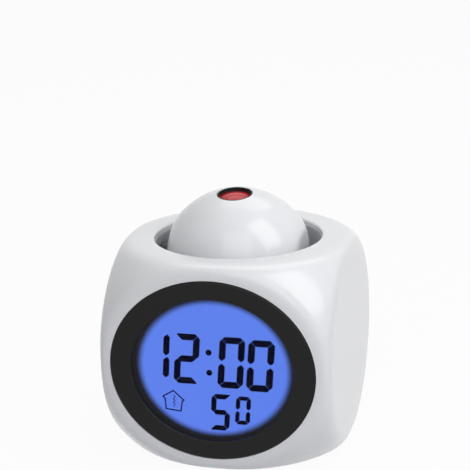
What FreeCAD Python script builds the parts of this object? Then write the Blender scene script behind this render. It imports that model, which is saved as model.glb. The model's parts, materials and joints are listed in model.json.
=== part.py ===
import FreeCAD, Part
import math
import os
from FreeCAD import Vector

# Projection alarm clock: a round-cornered cube with an oval display in front, a ball-shaped
# projector head in a well on top, and a round cover with buttons and the battery box behind.
# Millimetres. X to the right, Y to the back, Z up. The origin is on the table under the middle.

# Body
body_side = 84.0           # width and depth, the body is square from above
body_height = 76.0
wall = 2.2
flat_margin = 2.0          # from a face's flat circle to the straight edge of its square
edge_round = 3.2           # between each flat circle and the ball-shaped corners
foot_lift = 1.0            # the feet stand this far below the body
running_gap = 0.3          # between pieces that move past each other
seat_gap = 0.1             # between pieces that are pushed together
slip_gap = 0.2             # round a cover or ring that drops into its recess

# Display in front
bezel_side_margin = 5.0    # from the side of the body to the ring
bezel_end_margin = 5.2     # from the top or bottom of the body to the ring
bezel_depth = 2.0
bezel_proud = 0.3
bezel_land = 2.3           # width of the shoulder that the bezel rests on
bezel_slope = 0.6
bezel_side_band = 7.6      # width of the ring at its sides
bezel_end_band = 6.6       # width of the ring at its top and bottom
front_rim_depth = 3.2
front_rim_land = 1.1
window_lap = 2.2
window_thickness = 1.4
window_inset = 1.7         # from the front face to the window
lcd_margin = 0.9           # the glass reaches this far behind the ring
lcd_corner = 10.0
lcd_thickness = 1.8
backlight_thickness = 2.5
backlight_step = 3.4       # the backlight stops this far above the bottom of the glass
frame_wall = 1.2
ear_reach = 6.0
ear_half_height = 11.5
ear_thickness = 1.5
frame_screw_inset = 1.6    # from the ring's edge
frame_screw_z = 8.0
light_half_width = 12.0    # opening behind the backlight
light_half_height = 12.0
light_rise = 2.0

# Main board
board_thickness = 1.6
board_half_width = 26.0
board_height = 44.5
board_standoff = 1.7
board_screw_inset = 3.0
connector_half_length = 15.0
connector_width = 2.2
resin_radius = 6.5
resin_crown = 2.0
resin_place = (-10.0, 14.0)    # across, and up from the lower edge of the board
capacitor_radius = 2.5
capacitor_height = 5.5
capacitor_xs = (6.0, 13.0)
capacitor_rise = 9.0
small_parts = (            # left, right, low, high, thickness
    (16.0, 18.5, 15.0, 22.0, 2.5),
    (-3.0, 7.0, 19.0, 23.0, 4.5),
    (19.5, 21.5, 7.0, 11.0, 2.2),
)

# Well in the top
rim_margin = 11.3          # from the side of the body to the mouth of the well
rim_round = 0.8
well_inset = 0.4           # the wall of the well stands this far inside the mouth
well_step = 9.0            # depth of the straight wall under the top face
liner_wall = 1.2
liner_flange = 3.0
bowl_gap = 1.8             # between the ball and the bowl round it
pocket_radius = 6.2
pocket_depth = 10.9        # under the yoke, for the spring

# Ball head
ball_drop = 9.0            # from the top face to the tilt axis
ball_gap = 3.9             # open ring between the ball and the wall of the well
ball_flatness = 2.3        # the outline seen from the front has this much larger radius
ball_side_cut = 1.9        # the flat ends lie this far inside the ball
ball_wall = 1.8
ball_edge_round = 1.5
rest_tilt = 8.0            # degrees, the beam leans this far to the front
pin_radius = 2.0
pin_clearance = 0.06
pin_depth = 3.0            # how deep a pin goes into the head
boss_radius = 4.2

# Yoke that carries the head
yoke_gap = 1.4             # between the ball and the yoke
yoke_thickness = 1.6
yoke_half_width = 5.5
ear_radius = 4.5
stem_radius = 2.0
stem_clearance = 0.1
press_travel = 1.5
spring_radius = 4.3
spring_wire = 0.35
spring_turns = 5
spring_steps = 18          # straight pieces in a turn
clip_radius = 3.8
clip_thickness = 0.6
floor_thickness = 1.2
switch_size = 6.0
switch_height = 3.5
switch_plunger = 1.2
plunger_radius = 1.6
leg_spacing = 18.0
leg_radius = 1.9
shelf_margin = 0.8         # round the legs
pilot_depth = 6.0
press_board_end = 3.0      # beyond the legs
press_board_half_depth = 5.0

# Optics in the head
lens_ring_radius = 6.2
lens_opening = 5.2
lens_ring_height = 1.5
lens_ring_proud = 0.2
lens_radius = 5.6
lens_thickness = 1.5
lens_crown = 1.0
barrel_bottom = 9.6        # above the ball's centre
sleeve_wall = 1.3
film_thickness = 1.2
film_radius = 7.4
tunnel_radius = 7.4
tunnel_bore = 5.9
tunnel_bottom = -6.0       # below the ball's centre
condenser_radius = 4.6
condenser_height = 3.0
condenser_rim = 0.9
led_radius = 2.5
led_height = 8.0
led_board_radius = 12.0
led_screw_x = 9.8
head_screw_y = 15.0
head_screw_length = 17.0
head_screw_drop = 12.0     # seat of the screw heads below the tilt axis
head_post = 2.8

# Round cover behind, with the battery box
rear_margin = 5.5          # from the top or bottom of the body to the cover
rear_cover_thickness = 1.7
rear_cover_inset = 0.4
rear_shoulder = 1.7
collar_height = 2.0
collar_wall = 0.8
rim_wall = 1.7
rear_rim_depth = 6.0
cell_radius = 5.25
cell_length = 44.5
cell_nub = 1.0
cell_nub_radius = 1.9
cell_gap = 0.25
cell_count = 3
box_wall = 1.2
contact_thickness = 0.4
contact_spring = 2.1
door_thickness = 1.45
door_gap = 0.2
hinge_radius = 0.72
hinge_pin_length = 1.2

# Buttons and slide switch behind
button_count = 4
button_pitch = 8.4
button_inset = 9.9         # from the top of the cover to the row of buttons
button_radius = 2.6
button_proud = 0.7
button_flange = 0.6
flange_thickness = 1.1
button_travel = 0.7
button_stem_radius = 1.5
button_stem = 2.2
rear_board_width = 39.6
rear_board_height = 7.4
post_radius = 1.9
knob_half_width = 1.5
knob_half_height = 1.1
knob_travel = 3.2
knob_inset = 9.0           # from the bottom of the cover to the knob
knob_proud = 0.7
switch_post_spacing = 19.0

# Base
base_margin = 8.5          # from the side of the body to the cover
base_cover_thickness = 1.7
base_cover_inset = 0.2
base_shoulder = 1.7
foot_radius = 4.0
foot_inset = 5.92          # from the edge of the base cover to the middle of a foot
foot_seat = 0.8
speaker_radius = 18.0
speaker_height = 6.0
magnet_radius = 9.0
slot_count = 7
slot_width = 1.6
slot_pitch = 3.2
grille_radius = 13.0

# Screws
screw_radius = 1.0
screw_head_radius = 1.9
screw_head_height = 0.9
screw_length = 6.0
short_screw_length = 3.6
lug_half_width = 2.4
lug_thickness = 4.2
lug_reach = 1.9
rear_screw_inset = 4.0
rear_screw_turns = (12.2, -52.2)    # degrees above and below the level of the middle
base_screw_inset = 5.3

# Places that follow from the sizes
X = Vector(1, 0, 0)
Y = Vector(0, 1, 0)
Z = Vector(0, 0, 1)
half_side = body_side / 2
front_y = -half_side
back_y = half_side
far = 2 * body_side        # well beyond the body, for tools that cut right through
bottom_z = foot_lift
top_z = foot_lift + body_height
mid_z = foot_lift + body_height / 2
sphere_radius = math.hypot(half_side, half_side - flat_margin)

rim_radius = half_side - rim_margin
well_radius = rim_radius - well_inset
ball_z = top_z - ball_drop
ball_radius = well_radius - ball_gap
ball_arc = ball_radius + ball_flatness
ball_half_width = ball_radius - ball_side_cut
ball_centre = Vector(0, 0, ball_z)
yoke_inner = ball_radius + yoke_gap

bezel_half_width = half_side - bezel_side_margin
bezel_half_height = body_height / 2 - bezel_end_margin
view_half_width = bezel_half_width - bezel_side_band
view_half_height = bezel_half_height - bezel_end_band
lcd_half_width = view_half_width + lcd_margin
lcd_half_height = view_half_height + lcd_margin
frame_screw_x = bezel_half_width - frame_screw_inset

bezel_back_y = front_y + bezel_depth - slip_gap
rim_back_y = front_y + front_rim_depth
window_y = front_y + window_inset - bezel_proud
lcd_y = rim_back_y + slip_gap
lcd_back_y = lcd_y + lcd_thickness
backlight_y = lcd_back_y + seat_gap
backlight_back_y = backlight_y + backlight_thickness
frame_plate_y = backlight_back_y + seat_gap
frame_back_y = frame_plate_y + 1.0
board_y = frame_back_y + board_standoff
board_back_y = board_y + board_thickness
board_bottom_z = mid_z - lcd_half_height
bezel_spigot_half_width = bezel_half_width - bezel_land
bezel_spigot_half_height = bezel_half_height - bezel_land

under_top_z = top_z - wall
well_floor_z = top_z - well_step
bowl_radius = ball_radius + bowl_gap
bowl_z = ball_z - 1.0
yoke_outer = yoke_inner + yoke_thickness
channel_radius = yoke_outer + 0.6
channel_half_width = yoke_half_width + 0.8
yoke_bottom_z = ball_z - yoke_outer
pocket_bottom = yoke_bottom_z - pocket_depth
pocket_floor_z = pocket_bottom - floor_thickness
clip_z = pocket_floor_z - seat_gap - clip_thickness
stem_end_z = clip_z - 2.2
press_switch_top_z = stem_end_z - press_travel - slip_gap
press_board_top_z = press_switch_top_z - switch_plunger - switch_height
ear_face_x = ball_half_width + running_gap + 0.3
pin_end_x = yoke_outer - 0.2

rear_cover_radius = body_height / 2 - rear_margin
rear_screw_circle = rear_cover_radius - rear_screw_inset
cover_face_y = back_y - rear_cover_inset
cover_back_y = cover_face_y - rear_cover_thickness
rear_opening = rear_cover_radius - rear_shoulder + slip_gap
collar_y = cover_back_y - collar_height
cell_pitch = 2 * cell_radius + cell_gap
box_half_height = (cell_count * cell_pitch + cell_gap) / 2
box_half_width = (cell_length + contact_spring) / 2 + contact_thickness + seat_gap * 3
door_seat_y = cover_face_y - door_thickness - 0.05
cell_y = door_seat_y - cell_gap - cell_radius
box_floor_y = cell_y - cell_radius - 0.1
door_half_width = box_half_width + box_wall - door_gap
door_half_height = box_half_height + box_wall - door_gap
hinge_y = cover_face_y - door_thickness / 2
hinge_z = mid_z - door_half_height + door_thickness / 2
button_xs = [(i - (button_count - 1) / 2) * button_pitch for i in range(button_count)]
button_z = mid_z + rear_cover_radius - button_inset
flange_y = cover_back_y - seat_gap * 2
button_tip_y = flange_y - flange_thickness - button_stem
rear_switch_top_y = button_tip_y - button_travel - seat_gap
rear_board_y = rear_switch_top_y - 0.6 - 2.2
rear_post_z = mid_z + box_half_height + box_wall + 2.1
rear_post_x = rear_board_width / 2 - 2.0
knob_z = mid_z - rear_cover_radius + knob_inset
knob_plate_y = cover_back_y - seat_gap * 2
slide_body_y = knob_plate_y - 1.8

base_cover_radius = half_side - base_margin
base_screw_circle = base_cover_radius - base_screw_inset
foot_offset = (base_cover_radius - foot_inset) * math.sqrt(0.5)
base_face_z = bottom_z + base_cover_inset
base_top_z = base_face_z + base_cover_thickness
base_opening = base_cover_radius - base_shoulder + slip_gap
base_lug_z = base_top_z + collar_height + slip_gap
foot_top_z = base_face_z + foot_seat


# Basic forms
def block(x0, x1, y0, y1, z0, z1):
    return Part.makeBox(x1 - x0, y1 - y0, z1 - z0, Vector(x0, y0, z0))


def rod(radius, start, end):
    along = end.sub(start)
    return Part.makeCylinder(radius, along.Length, start, along)


def rod_x(radius, x0, x1, y, z):
    return rod(radius, Vector(x0, y, z), Vector(x1, y, z))


def rod_y(radius, y0, y1, x=0.0, z=mid_z):
    return rod(radius, Vector(x, y0, z), Vector(x, y1, z))


def rod_z(radius, z0, z1, x=0.0, y=0.0):
    return rod(radius, Vector(x, y, z0), Vector(x, y, z1))


def turned(points):
    """A solid turned about the Z axis from (radius, height) points."""
    wire = Part.makePolygon([Vector(r, 0, z) for r, z in points + points[:1]])
    return Part.Face(wire).revolve(Vector(0, 0, 0), Z, 360)


def oval(half_x, half_z, y0, y1):
    """An upright oval disc between two planes across Y."""
    longer, shorter = max(half_x, half_z), min(half_x, half_z)
    wire = Part.Wire(Part.Edge(Part.Ellipse(Vector(0, 0, 0), longer, shorter)))
    if half_z > half_x:
        wire.rotate(Vector(0, 0, 0), Z, 90)
    wire.rotate(Vector(0, 0, 0), X, 90)
    wire.translate(Vector(0, y0, mid_z))
    return Part.Face(wire).extrude(Vector(0, y1 - y0, 0))


def cut_corner_plate(half_x, half_z, corner, y0, y1):
    """A rectangular plate across Y with its four corners cut off."""
    across, up = half_x - corner, half_z - corner
    outline = [(half_x, up), (across, half_z), (-across, half_z), (-half_x, up),
               (-half_x, -up), (-across, -half_z), (across, -half_z), (half_x, -up)]
    corners = [Vector(x, y0, mid_z + z) for x, z in outline + outline[:1]]
    return Part.Face(Part.makePolygon(corners)).extrude(Vector(0, y1 - y0, 0))


def joined(shapes):
    return shapes[0].multiFuse(shapes[1:]).removeSplitter() if len(shapes) > 1 else shapes[0]


def without(shape, tools):
    return shape.cut(joined(tools)) if tools else shape


def dome(radius, crown):
    """A cap of a ball that stands on the XY plane."""
    ball = (radius ** 2 + crown ** 2) / (2 * crown)
    below = block(-2 * ball, 2 * ball, -2 * ball, 2 * ball, -2 * ball, 0)
    return Part.makeSphere(ball, Vector(0, 0, crown - ball)).cut(below)


def half_oval(across, up):
    """The right half of an upright oval, as an edge that starts and ends on the Z axis."""
    side, high, middle = Vector(across, 0, 0), Vector(0, 0, up), Vector(0, 0, 0)
    if up > across:
        return Part.Arc(Part.Ellipse(high, side, middle), 0, math.pi).toShape()
    return Part.Arc(Part.Ellipse(side, high, middle), -math.pi / 2, math.pi / 2).toShape()


def dice(side, height, ball, rounding):
    """A cube whose corners are cut by a ball, with the ball squashed as much as the height."""
    arc = half_oval(ball, ball * height / side)
    ends = [arc.Vertexes[0].Point, arc.Vertexes[-1].Point]
    ball_form = Part.Face(Part.Wire([arc, Part.makeLine(ends[1], ends[0])]))
    ball_form = ball_form.revolve(Vector(0, 0, 0), Z, 360)
    form = block(-side / 2, side / 2, -side / 2, side / 2, -height / 2, height / 2)
    form = form.common(ball_form)
    if rounding > 0:
        rims = [e for e in form.Edges if is_flat_curve(e)]
        form = form.makeFillet(rounding, rims)
    form.translate(Vector(0, 0, mid_z))
    return form


def is_flat_curve(edge):
    """True for a curved edge that lies in one of the six faces."""
    box = edge.optimalBoundingBox()
    lengths = [box.XLength, box.YLength, box.ZLength]
    return edge.Length > 1 and min(lengths) < 0.01 and sorted(lengths)[1] > 1


def screw(length, head_radius=screw_head_radius):
    """A pan-head screw along -Z with the underside of its head at the origin and a cross slot."""
    head = Part.makeCylinder(head_radius, screw_head_height)
    shank = rod_z(screw_radius - 0.15, -length, 0)
    slot = 0.25
    cross = [block(-head_radius * 0.6, head_radius * 0.6, -slot, slot, 0.4, 2),
             block(-slot, slot, -head_radius * 0.6, head_radius * 0.6, 0.4, 2)]
    return without(joined([head, shank]), cross)


def placed(shape, point, axis):
    """A copy of a shape made about Z, moved so that its Z points along the axis given."""
    copy = shape.copy()
    copy.Placement = FreeCAD.Placement(point, FreeCAD.Rotation(Z, axis))
    return copy


# Housing
def rear_screw_points():
    turns = [math.radians(turn) for turn in rear_screw_turns]
    return [(s * rear_screw_circle * math.cos(a), mid_z + rear_screw_circle * math.sin(a))
            for a in turns for s in (-1, 1)]


def base_screw_points():
    turns = [math.radians(90 * i) for i in range(4)]
    return [(base_screw_circle * math.cos(a), base_screw_circle * math.sin(a)) for a in turns]


def rear_lug(x, z):
    """A tongue from the rear rim inwards, behind one screw of the rear cover."""
    top_y = collar_y - slip_gap
    reach = rear_opening + rim_wall - math.hypot(x, z - mid_z)
    tongue = block(-lug_reach, reach, top_y - lug_thickness, top_y, -lug_half_width, lug_half_width)
    tongue.rotate(Vector(0, 0, 0), Y, -math.degrees(math.atan2(z - mid_z, x)))
    tongue.translate(Vector(x, 0, z))
    return tongue


def base_lug(x, y):
    """A tongue from the rim of the base inwards, above one screw of the base cover."""
    rim = base_cover_radius + rim_wall - base_screw_circle
    tongue = block(-lug_reach, rim, -lug_half_width, lug_half_width, base_lug_z,
                   base_lug_z + lug_thickness)
    root = block(base_opening + 0.4 - base_screw_circle, rim, -lug_half_width, lug_half_width,
                 base_top_z, base_lug_z + lug_thickness)
    tongue = joined([tongue, root])
    tongue.rotate(Vector(0, 0, 0), Z, math.degrees(math.atan2(y, x)))
    tongue.translate(Vector(x, y, 0))
    return tongue


def well_mouth():
    """The round opening in the top, with its rim rounded over."""
    corner = Vector(rim_radius, 0, top_z - rim_round)
    middle = Vector(rim_radius + rim_round * (1 - math.sqrt(0.5)), 0,
                    top_z - rim_round * (1 - math.sqrt(0.5)))
    lip = Vector(rim_radius + rim_round, 0, top_z)
    low = Vector(rim_radius, 0, under_top_z - wall)
    axis_low = Vector(0, 0, low.z)
    high = Vector(lip.x, 0, top_z + wall)
    axis_high = Vector(0, 0, high.z)
    edges = [Part.makeLine(axis_low, low), Part.makeLine(low, corner),
             Part.Arc(corner, middle, lip).toShape(), Part.makeLine(lip, high),
             Part.makeLine(high, axis_high), Part.makeLine(axis_high, axis_low)]
    return Part.Face(Part.Wire(edges)).revolve(Vector(0, 0, 0), Z, 360)


def main_housing():
    outer = dice(body_side, body_height, sphere_radius, edge_round)
    inner = dice(body_side - 2 * wall, body_height - 2 * wall, sphere_radius - wall, 0)
    front_rim = oval(bezel_half_width + front_rim_land, bezel_half_height + front_rim_land,
                     front_y, rim_back_y)
    rear_rim = rod_y(rear_opening + rim_wall + rear_shoulder, back_y - rear_rim_depth, back_y)
    base_rim = rod_z(base_cover_radius + rim_wall, bottom_z, base_top_z + collar_height)
    lugs = [rear_lug(x, z) for x, z in rear_screw_points()]
    lugs += [base_lug(x, y) for x, y in base_screw_points()]
    rims = joined([front_rim, rear_rim, base_rim]).common(outer)
    openings = [
        oval(bezel_half_width + slip_gap, bezel_half_height + slip_gap, front_y - 1, bezel_back_y),
        oval(bezel_spigot_half_width + slip_gap, bezel_spigot_half_height + slip_gap,
             front_y - 1, rim_back_y + 1),
        rod_y(rear_cover_radius + slip_gap, cover_back_y, back_y + 1),
        rod_y(rear_opening, back_y - rear_rim_depth - 1, back_y + 1),
        rod_z(base_cover_radius + slip_gap, bottom_z - 1, base_top_z),
        rod_z(base_opening, bottom_z - 1, base_top_z + collar_height + 1),
        well_mouth(),
    ]
    body = joined([outer.cut(inner), rims]).cut(joined(openings))
    body = joined([body, joined(lugs).common(outer)])
    top_y = collar_y - slip_gap
    pilots = [rod_y(screw_radius, top_y - lug_thickness - 1, top_y + 1, x, z)
              for x, z in rear_screw_points()]
    pilots += [rod_z(screw_radius, base_lug_z - 1, base_lug_z + lug_thickness + 1, x, y)
               for x, y in base_screw_points()]
    pilots += [rod_y(screw_radius, bezel_back_y + 0.4, rim_back_y + 1, sx * frame_screw_x,
                     mid_z + sz * frame_screw_z) for sx in (-1, 1) for sz in (-1, 1)]
    return without(body, pilots)


# Display
def bezel_ring():
    face_y = front_y - bezel_proud
    flange = oval(bezel_half_width, bezel_half_height, face_y, bezel_back_y)
    rim = [e for e in flange.Edges if abs(e.CenterOfMass.y - face_y) < 0.01]
    flange = flange.makeFillet(0.6, rim)
    spigot = oval(bezel_spigot_half_width, bezel_spigot_half_height, bezel_back_y, rim_back_y + 0.1)
    opening = oval(view_half_width, view_half_height, face_y - 1, rim_back_y + 1)
    seat = oval(view_half_width + window_lap, view_half_height + window_lap,
                window_y, rim_back_y + 1)
    ring = joined([flange, spigot]).cut(joined([opening, seat]))
    inner = [e for e in ring.Edges if abs(e.CenterOfMass.y - face_y) < 0.01
             and abs(e.BoundBox.XMax - view_half_width) < 0.5]
    return ring.makeChamfer(bezel_slope, inner)


def display_window():
    lap = window_lap - seat_gap
    return oval(view_half_width + lap, view_half_height + lap, window_y,
                window_y + window_thickness)


def lcd_glass():
    return cut_corner_plate(lcd_half_width, lcd_half_height, lcd_corner, lcd_y, lcd_back_y)


def backlight_panel():
    panel = cut_corner_plate(lcd_half_width - seat_gap, lcd_half_height - seat_gap, lcd_corner,
                             backlight_y, backlight_back_y)
    floor = mid_z - lcd_half_height + backlight_step
    return panel.cut(block(-far, far, -far, far, -far, floor))


def board_points():
    high = board_bottom_z + board_height - board_screw_inset
    low = board_bottom_z + board_screw_inset
    across = board_half_width - board_screw_inset
    return [(s * across, z) for s in (-1, 1) for z in (low, high)]


def lcd_frame():
    grow = slip_gap + frame_wall
    tray = cut_corner_plate(lcd_half_width + grow, lcd_half_height + grow, lcd_corner + 0.6,
                            lcd_y, frame_back_y)
    ear = block(-lcd_half_width - ear_reach, lcd_half_width + ear_reach, rim_back_y + 0.1,
                rim_back_y + ear_thickness, mid_z - ear_half_height, mid_z + ear_half_height)
    ear = ear.common(rod_y(frame_screw_x + 2.4, rim_back_y, frame_back_y))
    posts = [rod_y(post_radius, frame_back_y - 0.5, board_y, x, z) for x, z in board_points()]
    pocket = cut_corner_plate(lcd_half_width + slip_gap, lcd_half_height + slip_gap, lcd_corner,
                              front_y, frame_plate_y)
    slot_z = board_bottom_z + 0.5
    slot = block(-connector_half_length - slip_gap, connector_half_length + slip_gap, front_y,
                 board_y, slot_z, slot_z + connector_width + 2 * slip_gap)
    light = block(-light_half_width, light_half_width, front_y, board_y,
                  mid_z + light_rise - light_half_height, mid_z + light_rise + light_half_height)
    holes = [rod_y(screw_radius + 0.1, front_y, board_y, sx * frame_screw_x,
                   mid_z + sz * frame_screw_z) for sx in (-1, 1) for sz in (-1, 1)]
    holes += [rod_y(screw_radius - 0.1, frame_plate_y, board_y + 1, x, z) for x, z in board_points()]
    return without(joined([tray, ear] + posts), [pocket, slot, light] + holes)


def lcd_connector():
    low = board_bottom_z + 0.5 + slip_gap
    return block(-connector_half_length, connector_half_length, lcd_back_y, board_y, low,
                 low + connector_width)


def main_board():
    plate = block(-board_half_width, board_half_width, board_y, board_back_y, board_bottom_z,
                  board_bottom_z + board_height)
    edges = [e for e in plate.Edges if abs(e.BoundBox.YLength - board_thickness) < 0.01
             and e.BoundBox.XLength < 0.01 and e.BoundBox.ZLength < 0.01]
    plate = plate.makeFillet(2.0, edges)
    holes = [rod_y(screw_radius + 0.1, board_y - 1, board_back_y + 1, x, z)
             for x, z in board_points()]
    return without(plate, holes)


def board_components():
    """The chip under its drop of resin, two capacitors, a crystal, a plug and the heat sensor."""
    low = board_bottom_z
    resin_x, resin_rise = resin_place
    pieces = [placed(dome(resin_radius, resin_crown),
                     Vector(resin_x, board_back_y, low + resin_rise), Y)]
    pieces += [block(x0, x1, board_back_y, board_back_y + thick, low + z0, low + z1)
               for x0, x1, z0, z1, thick in small_parts]
    pieces += [rod_y(capacitor_radius, board_back_y, board_back_y + capacitor_height, x,
                     low + capacitor_rise) for x in capacitor_xs]
    return Part.makeCompound(pieces)


# Well and yoke
def bowl(grow, bottom):
    """The space turned about Z that holds the ball, with the pocket under it, grown by a wall."""
    radius, pocket, throat = bowl_radius + grow, pocket_radius + grow, well_radius + grow
    step_z, high = well_floor_z - grow, under_top_z - seat_gap
    meet = Vector(pocket, 0, bowl_z - math.sqrt(radius ** 2 - pocket ** 2))
    edge = Vector(math.sqrt(radius ** 2 - (step_z - bowl_z) ** 2), 0, step_z)
    middle = Vector(radius * math.sqrt(0.5), 0, bowl_z - radius * math.sqrt(0.5))
    corners = [edge, Vector(throat, 0, step_z), Vector(throat, 0, high), Vector(0, 0, high),
               Vector(0, 0, bottom), Vector(pocket, 0, bottom), meet]
    lines = [Part.makeLine(corners[i], corners[i + 1]) for i in range(len(corners) - 1)]
    arc = Part.Arc(meet, middle, edge).toShape()
    return Part.Face(Part.Wire([arc] + lines)).revolve(Vector(0, 0, 0), Z, 360)


def channel(radius, half, drop):
    """The groove in the bowl that the yoke hangs in, deep enough for its travel."""
    rounds = [rod(radius, Vector(0, -half, z), Vector(0, half, z)) for z in (ball_z, ball_z - drop)]
    return joined(rounds).cut(block(-far, far, -far, far, well_floor_z + 1, far))


def well_liner():
    drop = press_travel + 0.1
    outer = joined([bowl(liner_wall, pocket_floor_z),
                    channel(channel_radius + liner_wall, channel_half_width + liner_wall, drop)])
    top = under_top_z - seat_gap
    flange = rod_z(well_radius + liner_wall + liner_flange, top - liner_wall, top)
    shelf = rod_z(leg_spacing / 2 + leg_radius + shelf_margin, pocket_floor_z,
                  pocket_floor_z + floor_thickness)
    shelf = shelf.common(block(-far, far, -leg_radius * 2, leg_radius * 2, 0, far))
    legs = [rod_z(leg_radius, press_board_top_z, pocket_floor_z + 0.5, s * leg_spacing / 2)
            for s in (-1, 1)]
    inner = joined([bowl(0, pocket_bottom), rod_z(well_radius, well_floor_z + 1, top + 1),
                    channel(channel_radius, channel_half_width, drop),
                    rod_z(stem_radius + stem_clearance, pocket_floor_z - 1, pocket_bottom + 1)])
    pilots = [rod_z(screw_radius - 0.1, press_board_top_z - 1, press_board_top_z + pilot_depth,
                    s * leg_spacing / 2) for s in (-1, 1)]
    return joined([outer, flange, shelf] + legs).cut(joined([inner] + pilots))


def head_yoke():
    half = yoke_half_width
    band = rod(yoke_outer, Vector(0, -half, ball_z), Vector(0, half, ball_z))
    band = band.cut(rod(yoke_inner, Vector(0, -half - 1, ball_z), Vector(0, half + 1, ball_z)))
    band = band.cut(block(-far, far, -far, far, ball_z, far))
    ears = [rod_x(ear_radius, s * ear_face_x, s * yoke_outer, 0, ball_z) for s in (-1, 1)]
    uprights = [block(min(s * yoke_inner, s * yoke_outer), max(s * yoke_inner, s * yoke_outer),
                      -ear_radius, ear_radius, ball_z - 2, ball_z) for s in (-1, 1)]
    seat = rod_z(spring_radius + 2 * spring_wire, yoke_bottom_z - 0.6, yoke_bottom_z + 1.0)
    stem = rod_z(stem_radius, stem_end_z, yoke_bottom_z + 1.0)
    groove = rod_z(stem_radius + 1, clip_z - 0.05, clip_z + clip_thickness + 0.05)
    groove = groove.cut(rod_z(stem_radius - 0.4, clip_z - 1, clip_z + 2))
    hole = rod_x(pin_radius + pin_clearance, -far, far, 0, ball_z)
    return without(joined([band, seat, stem] + ears + uprights), [hole, groove])


def press_spring():
    """A coil of straight pieces of wire with a six-sided section, square to its own path."""
    low = pocket_bottom + spring_wire + 0.05
    high = yoke_bottom_z - 0.6 - spring_wire - 0.05
    rise = (high - low) / (spring_turns * spring_steps)
    slope = math.atan2(rise * spring_steps, 2 * math.pi * spring_radius)
    rings = []
    for step in range(spring_turns * spring_steps + 1):
        turn = 2 * math.pi * step / spring_steps
        out = Vector(math.cos(turn), math.sin(turn), 0)
        up = Vector(math.sin(turn) * math.sin(slope), -math.cos(turn) * math.sin(slope),
                    math.cos(slope))
        centre = out * spring_radius + Vector(0, 0, low + step * rise)
        corners = [math.radians(60 * k) for k in range(6)]
        rings.append([centre + out * (spring_wire * math.cos(a)) + up * (spring_wire * math.sin(a))
                      for a in corners])
    faces = [Part.Face(Part.makePolygon(ring + ring[:1])) for ring in (rings[0], rings[-1])]
    for near, next_ring in zip(rings, rings[1:]):
        for k in range(6):
            a, b = near[k], near[(k + 1) % 6]
            c, d = next_ring[(k + 1) % 6], next_ring[k]
            faces.append(Part.Face(Part.makePolygon([a, b, c, a])))
            faces.append(Part.Face(Part.makePolygon([a, c, d, a])))
    coil = Part.Solid(Part.Shell(faces))
    if coil.Volume < 0:
        coil.reverse()
    return coil


def stem_clip():
    ring = rod_z(clip_radius, clip_z, clip_z + clip_thickness)
    mouth = block(0, 10, -1.2, 1.2, clip_z - 1, clip_z + 2)
    return without(ring, [rod_z(stem_radius - 0.35, clip_z - 1, clip_z + 2), mouth])


def tact_switch(height, plunger):
    """A push switch that stands on its base at the origin and is pressed from above."""
    half = switch_size / 2
    body = block(-half, half, -half, half, 0, height)
    button = rod_z(plunger_radius, height, height + plunger)
    return joined([body, button])


def press_switch():
    switch = tact_switch(switch_height, switch_plunger)
    switch.translate(Vector(0, 0, press_board_top_z))
    return switch


def press_board():
    half = leg_spacing / 2 + press_board_end
    plate = block(-half, half, -press_board_half_depth, press_board_half_depth,
                  press_board_top_z - board_thickness, press_board_top_z)
    return without(plate, [rod_z(screw_radius + 0.1, 0, ball_z, s * leg_spacing / 2)
                           for s in (-1, 1)])


# Ball head, drawn upright and then leaned to the front
def leaned(shape):
    return shape.rotated(ball_centre, X, rest_tilt)


def barrel_form(shrink):
    """The head's outline turned about the tilt axis: an arc with a flat at each end."""
    radius, arc, half = ball_radius - shrink, ball_arc - shrink, ball_half_width - shrink
    end = radius - arc + math.sqrt(arc ** 2 - half ** 2)
    left, right = Vector(-half, 0, ball_z + end), Vector(half, 0, ball_z + end)
    left_low, right_low = Vector(-half, 0, ball_z), Vector(half, 0, ball_z)
    edges = [Part.makeLine(left_low, left),
             Part.Arc(left, Vector(0, 0, ball_z + radius), right).toShape(),
             Part.makeLine(right, right_low), Part.makeLine(right_low, left_low)]
    form = Part.Face(Part.Wire(edges)).revolve(ball_centre, X, 360)
    if shrink == 0:
        rims = [e for e in form.Edges
                if isinstance(e.Curve, Part.Circle) and abs(e.Curve.Radius - end) < 0.01]
        form = form.makeFillet(ball_edge_round, rims)
    return form


def head_height(radius):
    """Height of the ball's surface above its centre at a distance from its upright axis."""
    return math.sqrt(ball_radius ** 2 - radius ** 2)


lens_ring_top = ball_z + head_height(lens_ring_radius) + lens_ring_proud
lens_ring_low = lens_ring_top - lens_ring_height
barrel_low = ball_z + barrel_bottom
sleeve_radius = lens_ring_radius + seat_gap + sleeve_wall
tunnel_low = ball_z + tunnel_bottom
tunnel_top = barrel_low - film_thickness - seat_gap
led_board_top = tunnel_low - seat_gap


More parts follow.
